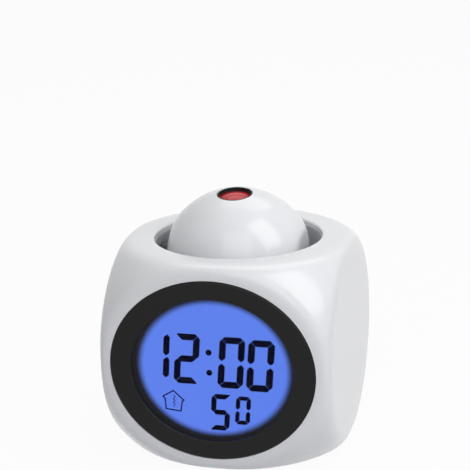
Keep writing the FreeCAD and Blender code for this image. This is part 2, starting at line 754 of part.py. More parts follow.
def head_shell(side):
    """Upper or lower half of the head's shell, split through the tilt axis."""
    shell = barrel_form(0).cut(barrel_form(ball_wall))
    bosses = [rod_x(boss_radius, s * (ball_half_width - ball_wall - pin_depth),
                    s * (ball_half_width + 0.3), 0, ball_z) for s in (-1, 1)]
    posts = [rod_z(head_post, ball_z - ball_radius, ball_z + ball_radius, 0, s * head_screw_y)
             for s in (-1, 1)]
    solid = barrel_form(0)
    pieces = [shell] + bosses + [p.common(solid) for p in posts]
    if side > 0:
        sleeve = rod_z(sleeve_radius, barrel_low + 2, lens_ring_low)
        half_space = block(-far, far, -far, far, ball_z, far)
        cuts = [rod_z(lens_ring_radius + seat_gap, barrel_low, far)]
        cuts += [rod_z(screw_radius - 0.1, ball_z - 1, ball_z + 8, 0, s * head_screw_y)
                 for s in (-1, 1)]
        pieces.append(sleeve)
    else:
        posts = [rod_z(post_radius + 0.3, ball_z - ball_radius, led_board_top - board_thickness,
                       x, 0) for x in (-led_screw_x, led_screw_x)]
        half_space = block(-far, far, -far, far, -far, ball_z)
        cuts = [rod_z(screw_radius + 0.1, -far, ball_z + 1, 0, s * head_screw_y)
                for s in (-1, 1)]
        cuts += [rod_z(screw_head_radius + 0.2, -far, ball_z - head_screw_drop, 0,
                       s * head_screw_y) for s in (-1, 1)]
        cuts += [rod_z(screw_radius - 0.1, led_board_top - 2 * pilot_depth, led_board_top, x, 0)
                 for x in (-led_screw_x, led_screw_x)]
        pieces += [p.common(solid) for p in posts]
    cuts.append(rod_x(pin_radius + 0.02, -far, far, 0, ball_z))
    return leaned(joined(pieces).common(half_space).cut(joined(cuts)))


def trunnion_pin(side):
    inner = side * (ball_half_width - ball_wall - pin_depth + 0.2)
    return leaned(rod_x(pin_radius, inner, side * pin_end_x, 0, ball_z))


def lens_ring():
    ring = rod_z(lens_ring_radius, lens_ring_low, lens_ring_top)
    rim = [e for e in ring.Edges if abs(e.CenterOfMass.z - lens_ring_top) < 0.01]
    ring = ring.makeFillet(0.3, rim)
    return leaned(ring.cut(rod_z(lens_opening, lens_ring_low - 1, lens_ring_top + 1)))


def projection_lens():
    low = lens_ring_low - lens_thickness
    disc = rod_z(lens_radius, low, lens_ring_low - 0.02)
    front = dome(lens_opening - seat_gap, lens_crown)
    front.translate(Vector(0, 0, lens_ring_low - 0.02))
    return leaned(joined([disc, front]))


def lens_barrel():
    tube = rod_z(lens_ring_radius, barrel_low, lens_ring_low)
    bore = [rod_z(lens_opening - 0.4, barrel_low - 1, lens_ring_low + 1),
            rod_z(lens_radius + seat_gap, lens_ring_low - lens_thickness, lens_ring_low + 1)]
    return leaned(without(tube, bore))


def picture_film():
    return leaned(rod_z(film_radius, tunnel_top + seat_gap / 2, barrel_low - seat_gap / 2))


def light_tunnel():
    tube = rod_z(tunnel_radius, tunnel_low, tunnel_top)
    ledge_z = tunnel_top - condenser_height - 0.6
    bore = [rod_z(tunnel_bore - 2, tunnel_low - 1, tunnel_top + 1),
            rod_z(tunnel_bore, tunnel_low - 1, ledge_z - 1.0),
            rod_z(condenser_radius + seat_gap, ledge_z, tunnel_top + 1)]
    return leaned(without(tube, bore))


def condenser_lens():
    low = tunnel_top - condenser_height - 0.6
    rim_top = low + condenser_rim
    crown = dome(condenser_radius, condenser_height - condenser_rim)
    crown.translate(Vector(0, 0, rim_top))
    return leaned(joined([rod_z(condenser_radius, low, rim_top), crown]))


def red_led():
    body = rod_z(led_radius, led_board_top, led_board_top + led_height - led_radius)
    tip = Part.makeSphere(led_radius, Vector(0, 0, led_board_top + led_height - led_radius))
    collar = rod_z(led_radius + 0.4, led_board_top, led_board_top + 1.0)
    return leaned(joined([body, tip, collar]))


def led_board():
    plate = rod_z(led_board_radius, led_board_top - board_thickness, led_board_top)
    return leaned(without(plate, [rod_z(screw_radius + 0.1, 0, far, x, 0)
                                  for x in (-led_screw_x, led_screw_x)]))


# Rear cover, door and cells
def rear_cover():
    box_x, box_z = box_half_width + box_wall, box_half_height + box_wall
    plate = rod_y(rear_cover_radius, cover_back_y, cover_face_y)
    collar_outer = rear_cover_radius - rear_shoulder
    collar = rod_y(collar_outer, collar_y, cover_back_y).cut(
        rod_y(collar_outer - collar_wall, collar_y - 1, cover_back_y + 1))
    tray = block(-box_x, box_x, box_floor_y - box_wall, cover_back_y, mid_z - box_z, mid_z + box_z)
    bosses = [rod_y(screw_head_radius + 0.3, collar_y - 0.1, cover_back_y, x, z)
              for x, z in rear_screw_points()]
    posts = [rod_y(post_radius, rear_board_y, cover_back_y, s * rear_post_x, rear_post_z)
             for s in (-1, 1)]
    posts += [rod_y(post_radius, slide_body_y, cover_back_y, s * switch_post_spacing / 2, knob_z)
              for s in (-1, 1)]
    face = cover_face_y + 1
    slot_half = knob_half_width + knob_travel / 2 + seat_gap
    cuts = [
        block(-box_half_width, box_half_width, box_floor_y, face, mid_z - box_half_height,
              mid_z + box_half_height),
        block(-box_x, box_x, door_seat_y, face, mid_z - box_z, mid_z + box_z),
        rod_y(4.2, cover_face_y - 0.7, face, 0, mid_z + box_z + 1.2),
        block(-slot_half, slot_half, cover_back_y - 1, face, knob_z - knob_half_height - slip_gap,
              knob_z + knob_half_height + slip_gap),
        rod_x(hinge_radius + 0.1, -box_x - hinge_pin_length - 0.1, box_x + hinge_pin_length + 0.1,
              hinge_y, hinge_z),
    ]
    cuts += [rod_y(button_radius + 0.15, cover_back_y - 1, face, x, button_z) for x in button_xs]
    for x, z in rear_screw_points():
        cuts.append(rod_y(screw_radius + 0.1, collar_y - 1, face, x, z))
        cuts.append(rod_y(screw_head_radius + 0.2, cover_face_y - screw_head_height, face, x, z))
    cuts += [rod_y(screw_radius - 0.1, rear_board_y - 1, cover_back_y - 1, s * rear_post_x,
                   rear_post_z) for s in (-1, 1)]
    cuts += [rod_y(screw_radius - 0.1, slide_body_y - 1, cover_back_y, s * switch_post_spacing / 2,
                   knob_z) for s in (-1, 1)]
    return without(joined([plate, collar, tray] + bosses + posts), cuts)


def battery_door():
    """A flat door that turns on two short pins at its lower edge, with ridges for the thumb."""
    inner_y = cover_face_y - door_thickness
    plate = block(-door_half_width, door_half_width, inner_y, cover_face_y, hinge_z,
                  mid_z + door_half_height)
    upright = [e for e in plate.Edges if e.BoundBox.YLength > 1 and e.BoundBox.XLength < 0.01
               and e.CenterOfMass.z > mid_z]
    plate = plate.makeFillet(1.2, upright)
    edge = rod_x(door_thickness / 2, -door_half_width, door_half_width, hinge_y, hinge_z)
    pins = rod_x(hinge_radius, -door_half_width - hinge_pin_length,
                 door_half_width + hinge_pin_length, hinge_y, hinge_z)
    ridge_z = mid_z + door_half_height - 5
    ridges = [block(-6 + i, 6 - i, cover_face_y - 0.5, cover_face_y + 0.4, ridge_z - 1.8 * i,
                    ridge_z - 1.8 * i + 0.8) for i in range(3)]
    return joined([plate, edge, pins] + ridges)


def cell_z(index):
    return mid_z + (index - (cell_count - 1) / 2) * cell_pitch


def battery_cell(index):
    """One cell; neighbours lie head to tail."""
    way = 1 if index % 2 else -1
    push = way * (contact_spring - 0.4) / 2
    body_end = cell_length / 2 - cell_nub
    centre = push
    body = rod_x(cell_radius, centre - way * cell_length / 2, centre + way * body_end, cell_y,
                 cell_z(index))
    nub = rod_x(cell_nub_radius, centre + way * body_end, centre + way * cell_length / 2, cell_y,
                cell_z(index))
    return joined([body, nub])


def battery_contacts(side):
    """Sprung or flat plates at one end of the box, one for each cell."""
    wall_x = side * (box_half_width - 0.05)
    face_x = wall_x - side * contact_thickness
    pieces = []
    for i in range(cell_count):
        z = cell_z(i)
        plate = block(min(wall_x, face_x), max(wall_x, face_x), cell_y - 4, cell_y + 4, z - 4, z + 4)
        way = 1 if i % 2 else -1
        end = way * (contact_spring - 0.4) / 2 + side * (cell_length / 2)
        if way == side:
            tip = rod_x(1.5, face_x, end + side * 0.05, cell_y, z)
            pieces.append(joined([plate, tip]))
        else:
            steps = [rod_x(r, face_x, face_x + (end + side * 0.1 - face_x) * k, cell_y, z)
                     for r, k in ((3.6, 0.34), (3.0, 0.67), (2.4, 1.0))]
            pieces.append(joined([plate] + steps))
    return Part.makeCompound(pieces)


# Buttons and switches behind
def rear_button(x):
    cap = rod_y(button_radius, flange_y, cover_face_y + button_proud, x, button_z)
    rim = [e for e in cap.Edges if abs(e.CenterOfMass.y - cover_face_y - button_proud) < 0.01]
    cap = cap.makeFillet(0.6, rim)
    flange = rod_y(button_radius + button_flange, flange_y - flange_thickness, flange_y, x, button_z)
    stem = rod_y(button_stem_radius, button_tip_y, flange_y, x, button_z)
    return joined([cap, flange, stem])


def button_switches():
    switch = tact_switch(2.2, 0.6)
    switches = [placed(switch, Vector(x, rear_board_y, button_z), Y) for x in button_xs]
    return Part.makeCompound(switches)


def button_board():
    half = rear_board_width / 2
    low = rear_post_z - post_radius
    high = button_z + switch_size / 2
    y0, y1 = rear_board_y - board_thickness, rear_board_y
    corner = 5.0
    outline = [(-half, low), (half, low), (half, high - corner), (half - corner, high),
               (corner - half, high), (-half, high - corner)]
    points = [Vector(x, y0, z) for x, z in outline + outline[:1]]
    plate = Part.Face(Part.makePolygon(points)).extrude(Vector(0, y1 - y0, 0))
    return without(plate, [rod_y(screw_radius + 0.1, y0 - 1, y1 + 1, s * rear_post_x, rear_post_z)
                           for s in (-1, 1)])


def slide_knob():
    """The knob of the projector switch, drawn at the left end of its slot."""
    x = -knob_travel / 2
    stem = block(x - knob_half_width, x + knob_half_width, knob_plate_y, cover_face_y + knob_proud,
                 knob_z - knob_half_height, knob_z + knob_half_height)
    plate = block(x - 4.2, x + 4.2, knob_plate_y - 1.4, knob_plate_y, knob_z - 2.6, knob_z + 2.6)
    grooves = [block(x + k - 0.2, x + k + 0.2, cover_face_y + knob_proud - 0.4,
                     cover_face_y + knob_proud + 1, knob_z - 3, knob_z + 3) for k in (-0.8, 0, 0.8)]
    return without(joined([stem, plate]), grooves)


def slide_switch():
    """The switch behind the knob, on a plate that is screwed to two posts."""
    half = switch_post_spacing / 2 + 2.2
    plate = block(-half, half, slide_body_y - 0.8, slide_body_y, knob_z - 2.6, knob_z + 2.6)
    case = block(-5.5, 5.5, slide_body_y - 4.2, slide_body_y - 0.8, knob_z - 2.6, knob_z + 2.6)
    holes = [rod_y(screw_radius + 0.1, slide_body_y - 2, slide_body_y + 1,
                   s * switch_post_spacing / 2, knob_z) for s in (-1, 1)]
    return without(joined([plate, case]), holes)


# Base
def foot_points():
    half = foot_offset
    return [(-half, -half, "front_left"), (half, -half, "front_right"),
            (-half, half, "rear_left"), (half, half, "rear_right")]


def base_cover():
    plate = rod_z(base_cover_radius, base_face_z, base_top_z)
    collar_outer = base_cover_radius - base_shoulder
    collar = rod_z(collar_outer, base_top_z, base_top_z + collar_height)
    collar = collar.cut(rod_z(collar_outer - rim_wall, base_top_z - 1, base_top_z + 10))
    ring = rod_z(speaker_radius + slip_gap + box_wall, base_top_z, base_top_z + 3.6)
    ring = ring.cut(rod_z(speaker_radius + slip_gap, base_top_z, base_top_z + 10))
    bosses = [rod_z(screw_head_radius + 0.6, base_top_z - 0.2, base_top_z + collar_height, x, y)
              for x, y in base_screw_points()]
    cuts = []
    for i in range(slot_count):
        y = (i - (slot_count - 1) / 2) * slot_pitch
        half = math.sqrt(max(grille_radius ** 2 - y ** 2, 4)) - slot_width / 2
        slot = block(-half, half, y - slot_width / 2, y + slot_width / 2, 0, base_top_z + 0.1)
        ends = [rod_z(slot_width / 2, 0, base_top_z + 0.1, s * half, y) for s in (-1, 1)]
        cuts.append(joined([slot] + ends))
    for x, y in base_screw_points():
        cuts.append(rod_z(screw_radius + 0.1, 0, 20, x, y))
        cuts.append(rod_z(screw_head_radius + 0.2, 0, base_face_z + screw_head_height + 0.2, x, y))
    cuts += [rod_z(foot_radius + seat_gap, 0, foot_top_z, x, y) for x, y, _ in foot_points()]
    return without(joined([plate, collar, ring] + bosses), cuts)


def rubber_foot(x, y):
    foot = rod_z(foot_radius, 0, foot_top_z, x, y)
    return foot.makeFillet(0.4, [e for e in foot.Edges if abs(e.CenterOfMass.z) < 0.01])


def speaker():
    """The speaker's basket and magnet; its open face looks down at the slots."""
    low = base_top_z
    basket = turned([(speaker_radius - 2.5, low + 0.05), (speaker_radius, low + 0.05),
                     (speaker_radius, low + 1.2), (speaker_radius - 2.0, low + 1.2),
                     (magnet_radius, low + 3.4), (magnet_radius, low + speaker_height), (0, low
                     + speaker_height), (0, low + 3.0), (magnet_radius - 1, low + 2.6),
                     (speaker_radius - 2.5, low + 0.7)])
    return basket


def speaker_cone():
    low = base_top_z
    return turned([(0, low + 2.2), (5.0, low + 1.6), (speaker_radius - 2.9, low + 0.2),
                   (speaker_radius - 2.9, low + 0.5), (5.2, low + 1.95), (0, low + 2.5)])


# Fasteners, each group in one node
def frame_screws():
    point_y = rim_back_y + ear_thickness + 0.02
    return Part.makeCompound([placed(screw(2.4), Vector(sx * frame_screw_x, point_y,
                              mid_z + sz * frame_screw_z), Y) for sx in (-1, 1) for sz in (-1, 1)])


def board_screws():
    return Part.makeCompound([placed(screw(short_screw_length), Vector(x, board_back_y + 0.02, z), Y)
                              for x, z in board_points()])


def rear_screws():
    y = cover_face_y - screw_head_height + 0.02
    return Part.makeCompound([placed(screw(screw_length), Vector(x, y, z), Y)
                              for x, z in rear_screw_points()])


def base_screws():
    z = base_face_z + screw_head_height + 0.18
    return Part.makeCompound([placed(screw(screw_length), Vector(x, y, z), Vector(0, 0, -1))
                              for x, y in base_screw_points()])


def small_board_screws():
    """Two under the press board, and two each in front of the button board and slide switch."""
    down = Vector(0, 0, -1)
    forward = Vector(0, -1, 0)
    bottom = press_board_top_z - board_thickness - 0.02
    items = [placed(screw(short_screw_length), Vector(s * leg_spacing / 2, 0, bottom), down)
             for s in (-1, 1)]
    items += [placed(screw(short_screw_length), Vector(s * rear_post_x, rear_board_y
                     - board_thickness - 0.02, rear_post_z), forward) for s in (-1, 1)]
    items += [placed(screw(2.4), Vector(s * switch_post_spacing / 2, slide_body_y - 0.82, knob_z),
                     forward) for s in (-1, 1)]
    return Part.makeCompound(items)


def head_screws():
    """Two that join the halves of the head from below, and two that hold the lamp board."""
    down = Vector(0, 0, -1)
    seat_z = ball_z - head_screw_drop - 0.02
    items = [placed(screw(head_screw_length), Vector(0, s * head_screw_y, seat_z), down)
             for s in (-1, 1)]
    lamp = [placed(screw(short_screw_length), Vector(x, 0, led_board_top + 0.02), Vector(0, 0, 1))
            for x in (-led_screw_x, led_screw_x)]
    return leaned(Part.makeCompound(items + lamp))


def clock():
    parts = {
        "main_housing": main_housing(),
        "bezel_ring": bezel_ring(),
        "display_window": display_window(),
        "lcd_glass": lcd_glass(),
        "backlight_panel": backlight_panel(),
        "lcd_frame": lcd_frame(),
        "lcd_connector": lcd_connector(),
        "main_board": main_board(),
        "board_components": board_components(),
        "well_liner": well_liner(),
        "head_yoke": head_yoke(),
        "press_spring": press_spring(),
        "stem_clip": stem_clip(),
        "press_switch": press_switch(),
        "press_board": press_board(),
        "head_upper_shell": head_shell(1),
        "head_lower_shell": head_shell(-1),
        "left_trunnion_pin": trunnion_pin(-1),
        "right_trunnion_pin": trunnion_pin(1),
        "lens_ring": lens_ring(),
        "projection_lens": projection_lens(),
        "lens_barrel": lens_barrel(),
        "picture_film": picture_film(),
        "light_tunnel": light_tunnel(),
        "condenser_lens": condenser_lens(),
        "red_led": red_led(),
        "led_board": led_board(),
        "rear_cover": rear_cover(),
        "battery_door": battery_door(),
        "left_contacts": battery_contacts(-1),
        "right_contacts": battery_contacts(1),
        "button_switches": button_switches(),
        "button_board": button_board(),
        "slide_knob": slide_knob(),
        "slide_switch": slide_switch(),
        "base_cover": base_cover(),
        "speaker": speaker(),
        "speaker_cone": speaker_cone(),
        "frame_screws": frame_screws(),
        "board_screws": board_screws(),
        "rear_screws": rear_screws(),
        "base_screws": base_screws(),
        "small_board_screws": small_board_screws(),
        "head_screws": head_screws(),
    }
    for index in range(cell_count):
        parts["battery_cell_" + str(index + 1)] = battery_cell(index)
    for index, x in enumerate(button_xs):
        parts["rear_button_" + str(index + 1)] = rear_button(x)
    for x, y, place in foot_points():
        parts["foot_" + place] = rubber_foot(x, y)
    return parts


os.makedirs("parts", exist_ok=True)
for name, shape in clock().items():
    print(name, "solids", len(shape.Solids), "volume", round(shape.Volume, 1),
          "" if shape.isValid() else "NOT VALID")
    shape.exportStep("parts/" + name + ".step")
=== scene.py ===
import json
from math import asin, ceil, cos, pi, radians, sin, sqrt, tan

import bmesh
import bpy
import numpy as np
from mathutils import Matrix, Vector


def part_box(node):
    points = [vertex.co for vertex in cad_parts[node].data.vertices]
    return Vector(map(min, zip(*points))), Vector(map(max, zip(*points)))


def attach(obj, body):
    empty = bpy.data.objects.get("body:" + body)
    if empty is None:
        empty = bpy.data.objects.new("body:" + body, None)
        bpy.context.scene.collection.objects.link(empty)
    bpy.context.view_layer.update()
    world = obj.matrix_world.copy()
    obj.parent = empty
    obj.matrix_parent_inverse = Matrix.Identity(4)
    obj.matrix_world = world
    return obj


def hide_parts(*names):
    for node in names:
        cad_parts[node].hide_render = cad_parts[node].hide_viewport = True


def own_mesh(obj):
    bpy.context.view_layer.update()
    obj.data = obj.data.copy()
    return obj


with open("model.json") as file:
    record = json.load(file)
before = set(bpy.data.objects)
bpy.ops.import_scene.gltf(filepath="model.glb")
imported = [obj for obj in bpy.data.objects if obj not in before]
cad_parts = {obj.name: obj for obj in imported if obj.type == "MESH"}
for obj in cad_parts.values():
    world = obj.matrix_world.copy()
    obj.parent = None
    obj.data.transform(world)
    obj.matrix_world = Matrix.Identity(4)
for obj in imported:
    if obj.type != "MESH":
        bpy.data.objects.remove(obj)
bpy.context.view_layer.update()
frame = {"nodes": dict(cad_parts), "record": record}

mm = 0.001
nodes, record = frame["nodes"], frame["record"]
slotOf = {entry["node"]: entry["material_slot"] for entry in record["subparts"]}
bodyOf = {node: body for body, held in record["behaviour"]["bodies"].items() for node in held}
materials = {}       # every finish by its name, filled in by startMaterial
print("frame loaded:", len(nodes), "nodes")


def link(name, data):
    item = bpy.data.objects.new(name, data)
    bpy.context.scene.collection.objects.link(item)
    return item


def bake(*items):
    # the first object's mesh with its modifiers run; the objects themselves go
    graph = bpy.context.evaluated_depsgraph_get()
    mesh = bpy.data.meshes.new_from_object(items[0].evaluated_get(graph))
    for item in items:
        bpy.data.objects.remove(item)
    return mesh


# a shape is (points, faces), drawn in millimetres and stored in metres, with the object at 0
def addMesh(name, shape, finish="white_gloss", sharpAngle=35):
    points, faces = shape
    mesh = bpy.data.meshes.new(name)
    mesh.from_pydata([tuple(c * mm for c in point) for point in points], [], faces)
    mesh.validate()
    tidyShell(mesh)
    return finishMesh(name, mesh, finish, sharpAngle)


def tidyShell(mesh):
    shell = bmesh.new()
    shell.from_mesh(mesh)
    bmesh.ops.remove_doubles(shell, verts=shell.verts, dist=1e-7)
    bmesh.ops.recalc_face_normals(shell, faces=shell.faces)
    shell.to_mesh(mesh)
    shell.free()


def finishMesh(name, mesh, finish, sharpAngle):
    mesh.name = name
    mesh.materials.clear()
    mesh.materials.append(materials[finish])
    for face in mesh.polygons:
        face.use_smooth = True
        face.material_index = 0
    mesh.set_sharp_from_angle(angle=radians(sharpAngle))
    return link(name, mesh)


def dress(piece, slot, *replaced, body="housing"):
    # the piece rides on a body and stands for the CAD nodes named, which are hidden; slot is not
    # used
    if replaced:
        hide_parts(*replaced)
    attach(piece, body)
    return piece


def addPiece(name, shape, slot, *replaced, body="housing", finish=None, sharpAngle=40):
    return dress(addMesh(name, shape, finish or slot, sharpAngle), slot, *replaced, body=body)


def circle(steps):
    turns = [2 * pi * k / steps for k in range(steps)]
    return [(cos(turn), sin(turn)) for turn in turns]


def disc(x, z, radius, steps=24):
    return [(x + radius * c, z + radius * s) for c, s in circle(steps)]


def loftRings(rings, closed=True):
    # every ring has the same number of points; the last ring joins the first when closed
    count, steps = len(rings[0]), len(rings)
    points = [tuple(point) for ring in rings for point in ring]
    faces = []
    for i in range(steps if closed else steps - 1):
        j = (i + 1) % steps
        for k in range(count):
            m = (k + 1) % count
            faces.append((i * count + k, i * count + m, j * count + m, j * count + k))
    return points, faces


def cappedRings(rings):
    # closes a stack of rings with a face at each end
    points, faces = loftRings(rings, closed=False)
    count = len(rings[0])
    faces.append(tuple(range(count))[::-1])
    faces.append(tuple(range(len(points) - count, len(points))))
    return points, faces


def merged(shapes):
    points, faces = [], []
    for some, more in shapes:
        faces += [tuple(i + len(points) for i in face) for face in more]
        points += some
    return points, faces


def block(low, high):
    (x0, y0, z0), (x1, y1, z1) = low, high
    points = [(x, y, z) for z in (z0, z1) for x, y in ((x0, y0), (x1, y0), (x1, y1), (x0, y1))]
    return points, [(0, 3, 2, 1), (4, 5, 6, 7), (0, 1, 5, 4), (1, 2, 6, 5), (2, 3, 7, 6),
        (3, 0, 4, 7)]


def turnedRings(profile, steps, centre=(0, 0, 0), axis="Z"):
    # profile points are (radius, height along the axis)
    order = {"Z": (0, 1, 2), "Y": (0, 2, 1), "X": (2, 0, 1)}[axis]
    rings = []
    for radius, height in profile:
        places = [(radius * c, radius * s, height) for c, s in circle(steps)]
        rings.append([tuple(centre[i] + place[order[i]] for i in range(3)) for place in places])
    return rings


def ovalRings(profile, halfX, halfZ, steps):
    # profile points are (distance outside the oval, y)
    return [[((halfX + out) * c, y, middleZ + (halfZ + out) * s) for c, s in circle(steps)]
        for out, y in profile]


def turned(*sizes):
    return cappedRings(turnedRings(*sizes))


def roundedProfile(corners, segments=6):
    # corners are (u, v, radius): a closed outline with its corners rounded
    outline = []
    count = len(corners)
    for i in range(count):
        here = Vector(corners[i][:2])
        before, after = Vector(corners[i - 1][:2]), Vector(corners[(i + 1) % count][:2])
        radius = corners[i][2]
        inward, outward = (before - here).normalized(), (after - here).normalized()
        turn = inward.angle(outward)
        if radius <= 0 or turn < 0.05 or turn > pi - 0.02:
            outline.append(tuple(here))
            continue
        reach = radius / tan(turn / 2)
        middle = here + (inward + outward).normalized() * (radius / sin(turn / 2))
        start, end = here + inward * reach - middle, here + outward * reach - middle
        sweep = start.angle_signed(end)
        for s in range(segments + 1):
            a = -sweep * s / segments
            outline.append((middle.x + start.x * cos(a) - start.y * sin(a),
                middle.y + start.x * sin(a) + start.y * cos(a)))
    return outline


# node trees, for materials and for Geometry Nodes alike
def addNode(tree, kind, *ordered, out=0, **named):
    # settings start with a small letter, inputs with a capital or come in the sockets' order;
    # an input that is a socket is linked, and None leaves the input as it is
    node = tree.nodes.new(kind)
    inputs = dict(enumerate(ordered))
    for key, value in named.items():
        if key[0].islower():
            setattr(node, key, value)
        else:
            inputs[key] = value
    for key, value in inputs.items():
        if isinstance(value, bpy.types.NodeSocket):
            tree.links.new(value, node.inputs[key])
        elif value is not None:
            node.inputs[key].default_value = value
    return node if out is None or not node.outputs else node.outputs[out]


def number(tree, operation, *values, **settings):
    return addNode(tree, "ShaderNodeMath", *values, operation=operation, **settings)


def vector(tree, operation, *values, out="Vector"):
    return addNode(tree, "ShaderNodeVectorMath", *values, operation=operation, out=out)


def joined(tree, *values):
    return addNode(tree, "ShaderNodeCombineXYZ", *values)


def noise(tree, place, scale, detail=2.0):
    return addNode(tree, "ShaderNodeTexNoise", Vector=place, Scale=scale, Detail=detail, out="Fac")


def startTree(name, **sockets):
    # sockets are KIND="label, label": the sizes that a user sees on the modifier
    tree = bpy.data.node_groups.new(name, "GeometryNodeTree")
    for way in ("INPUT", "OUTPUT"):
        tree.interface.new_socket("Geometry", in_out=way, socket_type="NodeSocketGeometry")
    for kind, labels in dict(sockets, Material="Finish").items():
        for label in labels.split(", "):
            tree.interface.new_socket(label, in_out="INPUT", socket_type="NodeSocket" + kind)
    return tree, tree.nodes.new("NodeGroupInput").outputs


def standOn(tree, points, instance, rotation=None, chosen=None):
    return addNode(tree, "GeometryNodeInstanceOnPoints", Points=points, Instance=instance,
        Rotation=rotation, Selection=chosen)


def pieceOf(tree, given):
    return addNode(tree, "GeometryNodeObjectInfo",
        **{"Object": given["Piece"], "As Instance": True}, out="Geometry")


def turnedBy(tree, angles):
    return addNode(tree, "FunctionNodeEulerToRotation", angles)


def endTree(tree, given, geometry):
    real = addNode(tree, "GeometryNodeRealizeInstances", geometry)
    painted = addNode(tree, "GeometryNodeSetMaterial", Geometry=real, Material=given["Finish"])
    addNode(tree, "NodeGroupOutput", painted)
    return tree


def grow(name, tree, values, finish, points=(), sharpAngle=35):
    # runs a tree on a few points and keeps the result as a plain mesh
    seed = bpy.data.meshes.new(name + "Seed")
    seed.from_pydata([tuple(c * mm for c in point) for point in points], [], [])
    carrier = link(name + "Seed", seed)
    modifier = carrier.modifiers.new("grow", "NODES")
    modifier.node_group = tree
    values = dict(values, Finish=materials[finish])
    for socket in tree.interface.items_tree:
        if socket.in_out == "INPUT" and socket.name in values:
            modifier[socket.identifier] = values[socket.name]
    return finishMesh(name, bake(carrier), finish, sharpAngle)


def cutAway(piece, cutters):
    # takes the cutters out of a piece and gives back the mesh
    for other in cutters:
        modifier = piece.modifiers.new("cut", "BOOLEAN")
        modifier.operation = "DIFFERENCE"
        modifier.solver = "EXACT"
        modifier.object = other
    return bake(piece, *cutters)


def linear(*levels):
    # a shade in 0 to 255 as the values that the shader reads
    shares = [level / 255 for level in levels]
    return tuple(c / 12.92 if c <= 0.04045 else ((c + 0.055) / 1.055) ** 2.4
        for c in shares) + (1.0,)


def startMaterial(name):
    material = bpy.data.materials.new(name)
    material.use_nodes = True
    materials[name] = material
    tree = material.node_tree
    tree.nodes.clear()
    return tree, addNode(tree, "ShaderNodeTexCoord", out="Object")


def mixColors(tree, factor, first, second):
    return addNode(tree, "ShaderNodeMix", Factor=factor, A=first, B=second, data_type="RGBA",
        out="Result")


def darker(shade, share):
    return tuple(c * share for c in shade[:3]) + (1.0,)


def clouded(tree, factor, shade, share):
    return mixColors(tree, factor, shade, darker(shade, share))


def mixShaders(tree, share, first, second):
    return addNode(tree, "ShaderNodeMixShader", share, first, second)


def spread(tree, value, low, high):
    # a 0 to 1 value drawn out between two others
    return addNode(tree, "ShaderNodeMapRange", **{"Value": value, "To Min": low, "To Max": high},
        out="Result")


def endMaterial(tree, look, color, roughness, height):
    # the shader and its bump, shared by every solid finish
    bump = addNode(tree, "ShaderNodeBump", Strength=look["bump"],
        Distance=look.get("bumpDepth", 0.05) * mm, Height=height, out="Normal")
    shader = addNode(tree, "ShaderNodeBsdfPrincipled",
        **{"Base Color": color, "Roughness": roughness, "Normal": bump,
        "Specular IOR Level": look.get("specular", 0.5), "Metallic": look.get("metallic", 0.0),
        "Coat Weight": look.get("coat", 0.0), "Coat Roughness": 0.06})
    addNode(tree, "ShaderNodeOutputMaterial", shader)


def endGlow(tree, look, glow):
    shader = addNode(tree, "ShaderNodeBsdfPrincipled",
        **{"Base Color": look["color"], "Roughness": look["roughness"],
        "Specular IOR Level": look["specular"], "Emission Color": glow,
        "Emission Strength": look["strength"]})
    addNode(tree, "ShaderNodeOutputMaterial", shader)


def mouldedPlastic(name, look):
    # flow clouds from the mould, a fine spark-eroded skin and a little uneven gloss
    tree, place = startMaterial(name)
    cloud = noise(tree, place, look["cloudScale"], 3.0)
    color = clouded(tree, cloud, look["color"], look["cloudDepth"])
    skin = noise(tree, place, look["skinScale"])
    pits = addNode(tree, "ShaderNodeTexVoronoi", Vector=place, Scale=look["skinScale"] * 0.6,
        out="Distance")
    gloss = spread(tree, cloud, look["roughness"] * 0.85, look["roughness"] * 1.15)
    endMaterial(tree, look, color, gloss, number(tree, "ADD", skin, pits))


def brushedSteel(name, look):
    # drawn or plated metal: fine lines along one direction and dull spots
    tree, place = startMaterial(name)
    drawn = addNode(tree, "ShaderNodeMapping", Vector=place, Scale=(1.0, 12.0, 12.0))
    lines = noise(tree, drawn, look["lineScale"])
    spots = noise(tree, place, look["spotScale"], 4.0)
    color = clouded(tree, spots, look["color"], look["spotDepth"])
    gloss = spread(tree, lines, look["roughness"] * 0.75, look["roughness"] * 1.3)
    endMaterial(tree, look, color, gloss, lines)


def printedBoard(name, look):
    # lacquered board: copper tracks under the lacquer, and tinned pads
    tree, place = startMaterial(name)
    upright = addNode(tree, "ShaderNodeMapping", Vector=place, Rotation=(radians(90), 0, 0))
    tracks = addNode(tree, "ShaderNodeTexBrick", out=None,
        **{"Vector": upright, "Scale": look["trackScale"], "Mortar Size": 0.06,
        "Mortar Smooth": 0.2, "Brick Width": 0.9, "Row Height": 0.22, "Color1": look["color"],
        "Color2": darker(look["color"], 0.8), "Mortar": look["track"]})
    pads = addNode(tree, "ShaderNodeTexVoronoi", Vector=place, Scale=look["padScale"],
        out="Distance")
    isPad = number(tree, "LESS_THAN", pads, look["padSize"])
    color = mixColors(tree, isPad, tracks.outputs["Color"], look["pad"])
    endMaterial(tree, look, color, look["roughness"], tracks.outputs["Fac"])


def ribbedPaper(name, look):
    # pressed paper of a speaker cone: rings round the Z axis and loose fibres
    tree, place = startMaterial(name)
    rings = addNode(tree, "ShaderNodeTexWave", Vector=place, Scale=look["ringScale"],
        Distortion=0.0, wave_type="RINGS", rings_direction="Z", out="Fac")
    fibres = noise(tree, place, look["fibreScale"], 5.0)
    color = clouded(tree, fibres, look["color"], look["fibreDepth"])
    endMaterial(tree, look, color, look["roughness"], number(tree, "ADD", rings, fibres))


